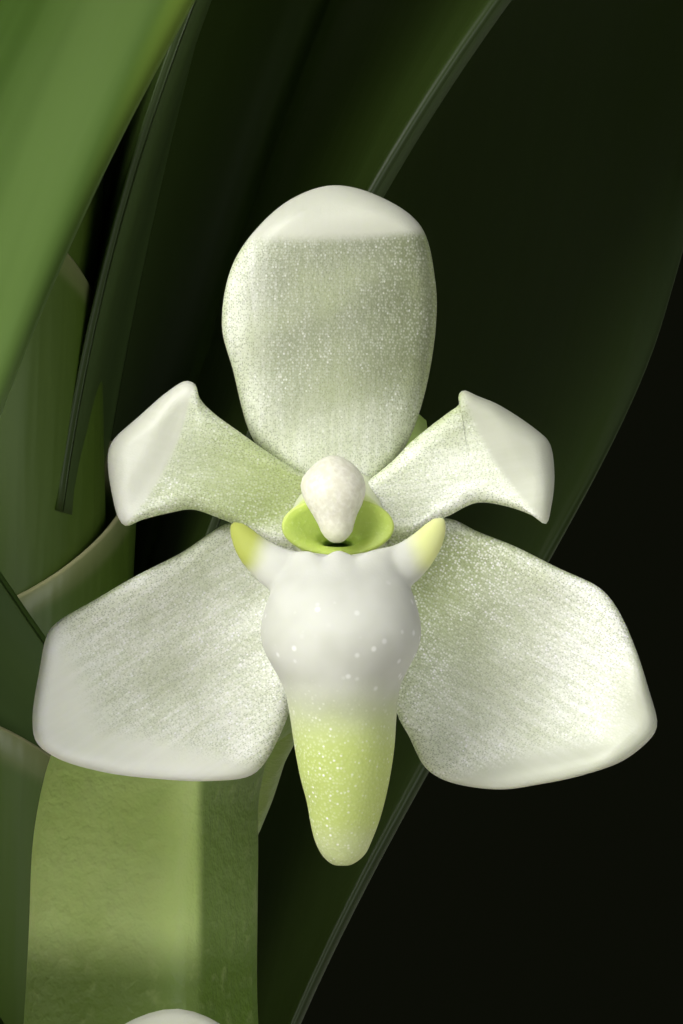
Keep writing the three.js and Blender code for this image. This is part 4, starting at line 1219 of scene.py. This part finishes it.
def green_cup(w):
    place = attribute(w, "bloom_at", "Vector")
    inside = attribute(w, "inside")
    depth = axis(place, "Y")
    fine = noise(place, 14, 2)
    outer = blend(fade(depth, -0.6, -1.1), "d3dab4", "cfdd84")
    inner = blend(fade(depth, -1.16, -0.95), "bbd065", "7f9a3a")
    body = blend(inside, outer, inner)
    body = blend(fade(fine, 0.55, 0.8) * 0.3, body, "e6efb8")
    return {"Base Color": body, "Roughness": 0.4 + 0.1 * fine, "Normal": bump(fine, 0.01 * MM)}


def cream_cap(w):
    place = attribute(w, "bloom_at", "Vector")
    fine = noise(place, 11, 3)
    height = axis(place, "Z")
    body = blend(fade(fine, 0.35, 0.7), "d6d3c1", "e4e2d3")
    body = blend(fade(height, -0.3, -0.7) * 0.6, body, "dfe2c0")
    return {"Base Color": body, "Roughness": 0.4 + 0.1 * fine, "Normal": bump(fine, 0.015 * MM)}


watery = {"Subsurface Weight": 0.35, "Subsurface Radius": (0.9, 1.0, 0.6), "Subsurface Scale": 0.0006}
tepal_wax = finish("glittering tepal", {**watery, "Specular IOR Level": 0.5}, glittering_tepal)
cup_flesh = finish("green cup", {**watery, "Specular IOR Level": 0.4}, green_cup)
cap_wax = finish("cream cap", {**watery, "Specular IOR Level": 0.5}, cream_cap)
FLOWER_FINISHES = [tepal_wax, cup_flesh, cap_wax]


def facing(place):
    """How a flower is turned round the stalk, tipped and rolled."""
    turned = Matrix.Rotation(math.radians(place.turn), 4, "Z")
    turned = turned @ Matrix.Rotation(-math.radians(place.tilt), 4, "X")
    return turned @ Matrix.Rotation(math.radians(place.roll), 4, "Y")


def set_at(mesh, place):
    """Moves a flower's mesh from its own frame, in metres, to its place on the stalk."""
    mesh.transform(Matrix.Translation(Vector(place.centre * MM)) @ facing(place))
    return mesh


def flower_mesh(corners, faces, rims, sides):
    skins = [tepal_skin(tepal, corners, faces, rims) for tepal in TEPALS.values()]
    return mesh_of("flower", [*skins, column_skin(sides), cap_skin(sides)], FLOWER_FINISHES)


fine_faces = list(np.linspace(0.04, 1, 26))
front_flower = set_at(flower_mesh(150, fine_faces, 11, 72), front_place)
put_in_place("front_flower", [front_flower], "petal", "bloom_01_flower")


# Lips: a swollen white body under the column that narrows into a blunt yellow-green spur. Its upper edge
# has three low humps, and a small horn with a yellow tip stands on each shoulder.
LIP_LEVELS = [
    # height, middle, half the width, depth of the front, depth of the back
    (-1.05, 0.06, 1.0, -2.35, -1.5), (-1.15, 0.06, 1.02, -2.56, -1.42),
    (-1.45, 0.06, 1.14, -2.9, -1.3), (-1.8, 0.055, 1.26, -3.12, -1.2),
    (-2.15, 0.05, 1.32, -3.24, -1.1), (-2.45, 0.05, 1.27, -3.23, -1.07),
    (-2.75, 0.05, 1.12, -3.15, -1.05), (-3.0, 0.06, 0.99, -3.03, -1.02),
    (-3.2, 0.07, 0.93, -2.93, -1.0), (-3.6, 0.09, 0.875, -2.7, -0.97),
    (-4.1, 0.11, 0.82, -2.55, -0.95), (-4.6, 0.12, 0.735, -2.38, -0.93),
    (-5, 0.13, 0.64, -2.2, -0.92), (-5.35, 0.11, 0.56, -2.02, -0.93),
    (-5.62, 0.09, 0.475, -1.86, -0.96), (-5.83, 0.09, 0.38, -1.72, -1.02),
    (-5.97, 0.08, 0.25, -1.6, -1.1), (-6.04, 0.07, 0.13, -1.5, -1.2),
]
LIP_EDGE = [
    (-1.07, -0.84), (-0.72, -0.86), (-0.5, -0.85), (-0.37, -0.9), (-0.24, -0.97), (-0.12, -0.9),
    (0.01, -0.86), (0.14, -0.9), (0.31, -0.96), (0.47, -0.88), (0.72, -0.82), (1.02, -0.74),
]
HORN_LINES = [
    [[-0.62, -2.0, -1.3], [-1.05, -2.0, -1.1], [-1.4, -1.88, -0.82],
     [-1.6, -1.7, -0.56], [-1.75, -1.55, -0.37]],
    [[0.68, -2.0, -1.24], [1.1, -2.0, -1.05], [1.42, -1.88, -0.76],
     [1.61, -1.7, -0.49], [1.74, -1.55, -0.29]],
]


def lip_body(sides):
    turn = all_round(sides)
    edge_x, edge_z = zip(*LIP_EDGE)
    levels = at_shares(curve_through(LIP_LEVELS, steps=6), np.linspace(0, 1, 70))
    rings = []
    for drop in (0.28, 0.12):
        z, cx, half, front, back = levels[0]
        near, far = between(front, back, drop / 2), between(back, front, drop / 2)
        rings.append((z, cx, half * (1 - drop), near, far, 1.0))
    rings += [(*level, max(0.0, 1 - (level[0] + 1.05) / -0.22) ** 2) for level in levels]
    shaped = []
    for z, cx, half, front, back, raised in rings:
        x = cx + half * np.cos(turn)
        y = (front + back) / 2 + (front - back) / 2 * np.sin(turn)
        humps = np.interp(x, edge_x, edge_z) + 1.05
        shaped.append(np.stack([x, y, z + raised * humps * (0.7 + 0.5 * np.sin(turn))], -1))
    return loft(shaped)


def horn_skin(line, sides):
    shares = np.linspace(0, 1, 16)
    points = at_shares(curve_through(line), shares)
    turn = all_round(sides)[:, None]
    rings = []
    for i, point in enumerate(points):
        ahead = points[min(i + 1, 15)] - points[max(i - 1, 0)]
        ahead /= np.linalg.norm(ahead)
        flat = np.cross(ahead, np.array([0.0, 1.0, 0.0]))
        flat /= np.linalg.norm(flat)
        depth = np.cross(flat, ahead)
        radius = between(0.44, 0.16, shares[i]) * math.sqrt(max(1 - shares[i] ** 8, 0.02))
        rings.append(point + (flat * np.cos(turn) + 0.7 * depth * np.sin(turn)) * radius)
    return loft(rings)


def lip_mesh(sides, cell, rounds):
    """The body and horns grown together into one flesh, with the place of each point in its bloom."""
    rough = mesh_of("lip", [lip_body(sides), *[horn_skin(line, 20) for line in HORN_LINES]], [])
    rough.transform(Matrix.Scale(1 / MM, 4))
    holder = standing("lip", rough)
    fuse = holder.modifiers.new("grown together", "REMESH")
    fuse.mode = "VOXEL"
    fuse.voxel_size = cell
    relax = holder.modifiers.new("soft", "SMOOTH")
    relax.factor = 0.5
    relax.iterations = rounds
    mesh = plain(holder)
    spots = np.zeros(len(mesh.vertices) * 3)
    mesh.vertices.foreach_get("co", spots)
    note(mesh, "bloom_at", spots)
    mesh.transform(Matrix.Scale(MM, 4))
    mesh.polygons.foreach_set("use_smooth", [True] * len(mesh.polygons))
    mesh.materials.append(lip_flesh)
    return mesh


def swollen_lip(w):
    place = attribute(w, "bloom_at", "Vector")
    x = axis(place, "X")
    z = axis(place, "Z")
    dome, dice = cells(place, 17.0)
    drift = noise(place, 1.1, 2)
    dot = fade(dome, 0.55, 0.15)
    spur = fade(z + 0.35 * (drift - 0.5), -2.75, -4.3)
    horn = fade(abs(x) + 0.3 * z, 0.8, 1.25) * fade(z, -1.4, -1.0)
    left = fade(x, 0.35, -0.25)
    # Painted highlights: glints painted white on the spur's cells, more on its left side.
    painted_glint = fade(dice, 0.8, 0.97) * dot * spur * (0.35 + 0.65 * left)
    bead, bead_dice = cells(place, 4.5)
    bead = fade(bead, 0.3, 0.08) * fade(bead_dice, 0.3, 0.5) * (1 - spur) * fade(z, -1.2, -1.7)
    body = blend(fade(drift, 0.3, 0.7), "c0c1b6", "cbccc2")
    body = blend(spur * 0.95, body, "bccb72")
    body = blend(spur * fade(z, -5.2, -5.7) * 0.6, body, "ccd4a4")
    # Painted shade: the left horn is painted a darker yellow-green than the right one.
    body = blend(horn, body, blend(left, "dfe49c", "a3aa52"))
    # Painted highlight: lighter dots on the spur, most on its left side.
    body = blend(dot * spur * (0.12 + 0.25 * left), body, "e9eecb")
    body = blend(painted_glint * 0.9 + bead * 0.45, body, "ffffff")
    relief = (1 - dome) * (0.15 + 0.85 * spur)
    return {"Base Color": body, "Roughness": 0.62 - 0.2 * painted_glint, "Normal": bump(relief, 0.01 * MM, 0.7)}


lip_flesh = finish("swollen lip", {**watery, "Specular IOR Level": 0.3}, swollen_lip)
front_lip = set_at(lip_mesh(120, 0.045, 3), front_place)
put_in_place("front_lip", [front_lip], "lip", "bloom_01_lip")


# Lower blooms: the same flowers and lips again, spaced round the hanging rachis by the golden angle,
# a little smaller towards its end, every second one grown the other way round.
def strung_blooms(master_mesh, flesh):
    """A part of the bloom at every lower place, as it is or grown the other way round."""
    meshes = []
    for mirrored in (False, True):
        shape = master_mesh.copy()
        if mirrored:
            shape.transform(Matrix.Scale(-1, 4, (1, 0, 0)))
            shape.flip_normals()
        places = [p for p in lower_places if p.mirrored == mirrored]
        seats = [(p.centre, tuple(facing(p).to_euler()), p.size) for p in places]
        meshes.append(seated(seats, shape, flesh))
    return meshes


lower_nodes = [f"bloom_{p.number:02d}" for p in lower_places]
few_faces = [0.1, 0.3, 0.5, 0.7, 0.86, 1]
plain_tepals = [tepal_skin(tepal, 56, few_faces, 5) for tepal in TEPALS.values()]
lower_flowers = []
plain_parts = [(plain_tepals, tepal_wax), ([column_skin(28)], cup_flesh), ([cap_skin(28)], cap_wax)]
for skins, flesh in plain_parts:
    part = mesh_of("flower_part", [skin._replace(look=0) for skin in skins], [flesh])
    lower_flowers += strung_blooms(part, flesh)
put_in_place("lower_flowers", lower_flowers, "petal", *[f"{n}_flower" for n in lower_nodes])
lower_lips = strung_blooms(lip_mesh(48, 0.11, 2), lip_flesh)
put_in_place("lower_lips", lower_lips, "lip", *[f"{n}_lip" for n in lower_nodes])


# Stage: a plain pale floor under the pot, soft lamps from the left, right and behind, and the
# camera that looks level at the front bloom from close by.
FLOOR_RADIUS, FLOOR_MIDDLE = 1.78, -0.3
CAMERA_AWAY, SEEN_HEIGHT = 150, 17.07


def pale_floor(w):
    place = own_place(w)
    clouds = noise(place, 5, 3)
    body = blend(clouds, "c9c6bf", "d3d0ca")
    return {"Base Color": body, "Roughness": 0.8 + 0.1 * clouds}


floor_rings = [circle_of(FLOOR_RADIUS / MM, z, 96, 0, FLOOR_MIDDLE / MM) for z in (-6, -0.02)]
floor_finish = finish("pale floor", {}, pale_floor)
standing("floor", mesh_of("floor", [loft(floor_rings)], [floor_finish], False))


def soft_lamp(name, place, aim, width, power, tint):
    data = bpy.data.lights.new(name, "AREA")
    data.shape = "DISK"
    data.size = width
    data.energy = power
    data.color = tint
    lamp = bpy.data.objects.new(name, data)
    bpy.context.scene.collection.objects.link(lamp)
    lamp.location = place
    lamp.rotation_euler = (Vector(aim) - Vector(place)).to_track_quat("-Z", "Y").to_euler()
    lamp.visible_camera = False
    return lamp


bloom_middle = (0.006, -0.052, 0.095)
soft_lamp("key", (-0.2, -0.3, 0.34), bloom_middle, 0.3, 1.95, (1.0, 0.99, 0.96))
soft_lamp("low left", (-0.32, -0.3, 0.13), bloom_middle, 0.2, 0.75, (1.0, 1.0, 0.97))
soft_lamp("fill", (0.75, -0.85, 0.4), (0, 0, 0.07), 0.6, 3.6, (0.97, 0.98, 1.0))
back = soft_lamp("back", (-0.35, 0.6, 0.65), (0, 0, 0.08), 0.45, 3.5, (1.0, 1.0, 1.0))
back.visible_glossy = False

world = bpy.data.worlds.new("dim room")
world.use_nodes = True
world.node_tree.nodes["Background"].inputs[0].default_value = (0.0035, 0.004, 0.002, 1)
bpy.context.scene.world = world
bpy.context.scene.view_settings.view_transform = "Standard"

camera = bpy.data.objects.new("camera", bpy.data.cameras.new("camera"))
bpy.context.scene.collection.objects.link(camera)
camera.data.sensor_width = 36
camera.data.lens = camera.data.sensor_width * CAMERA_AWAY / SEEN_HEIGHT
camera.data.clip_start = 0.001
camera.location = (0.00606, -0.202, 0.0958)
camera.rotation_euler = (math.pi / 2, 0, 0)
bpy.context.scene.camera = camera
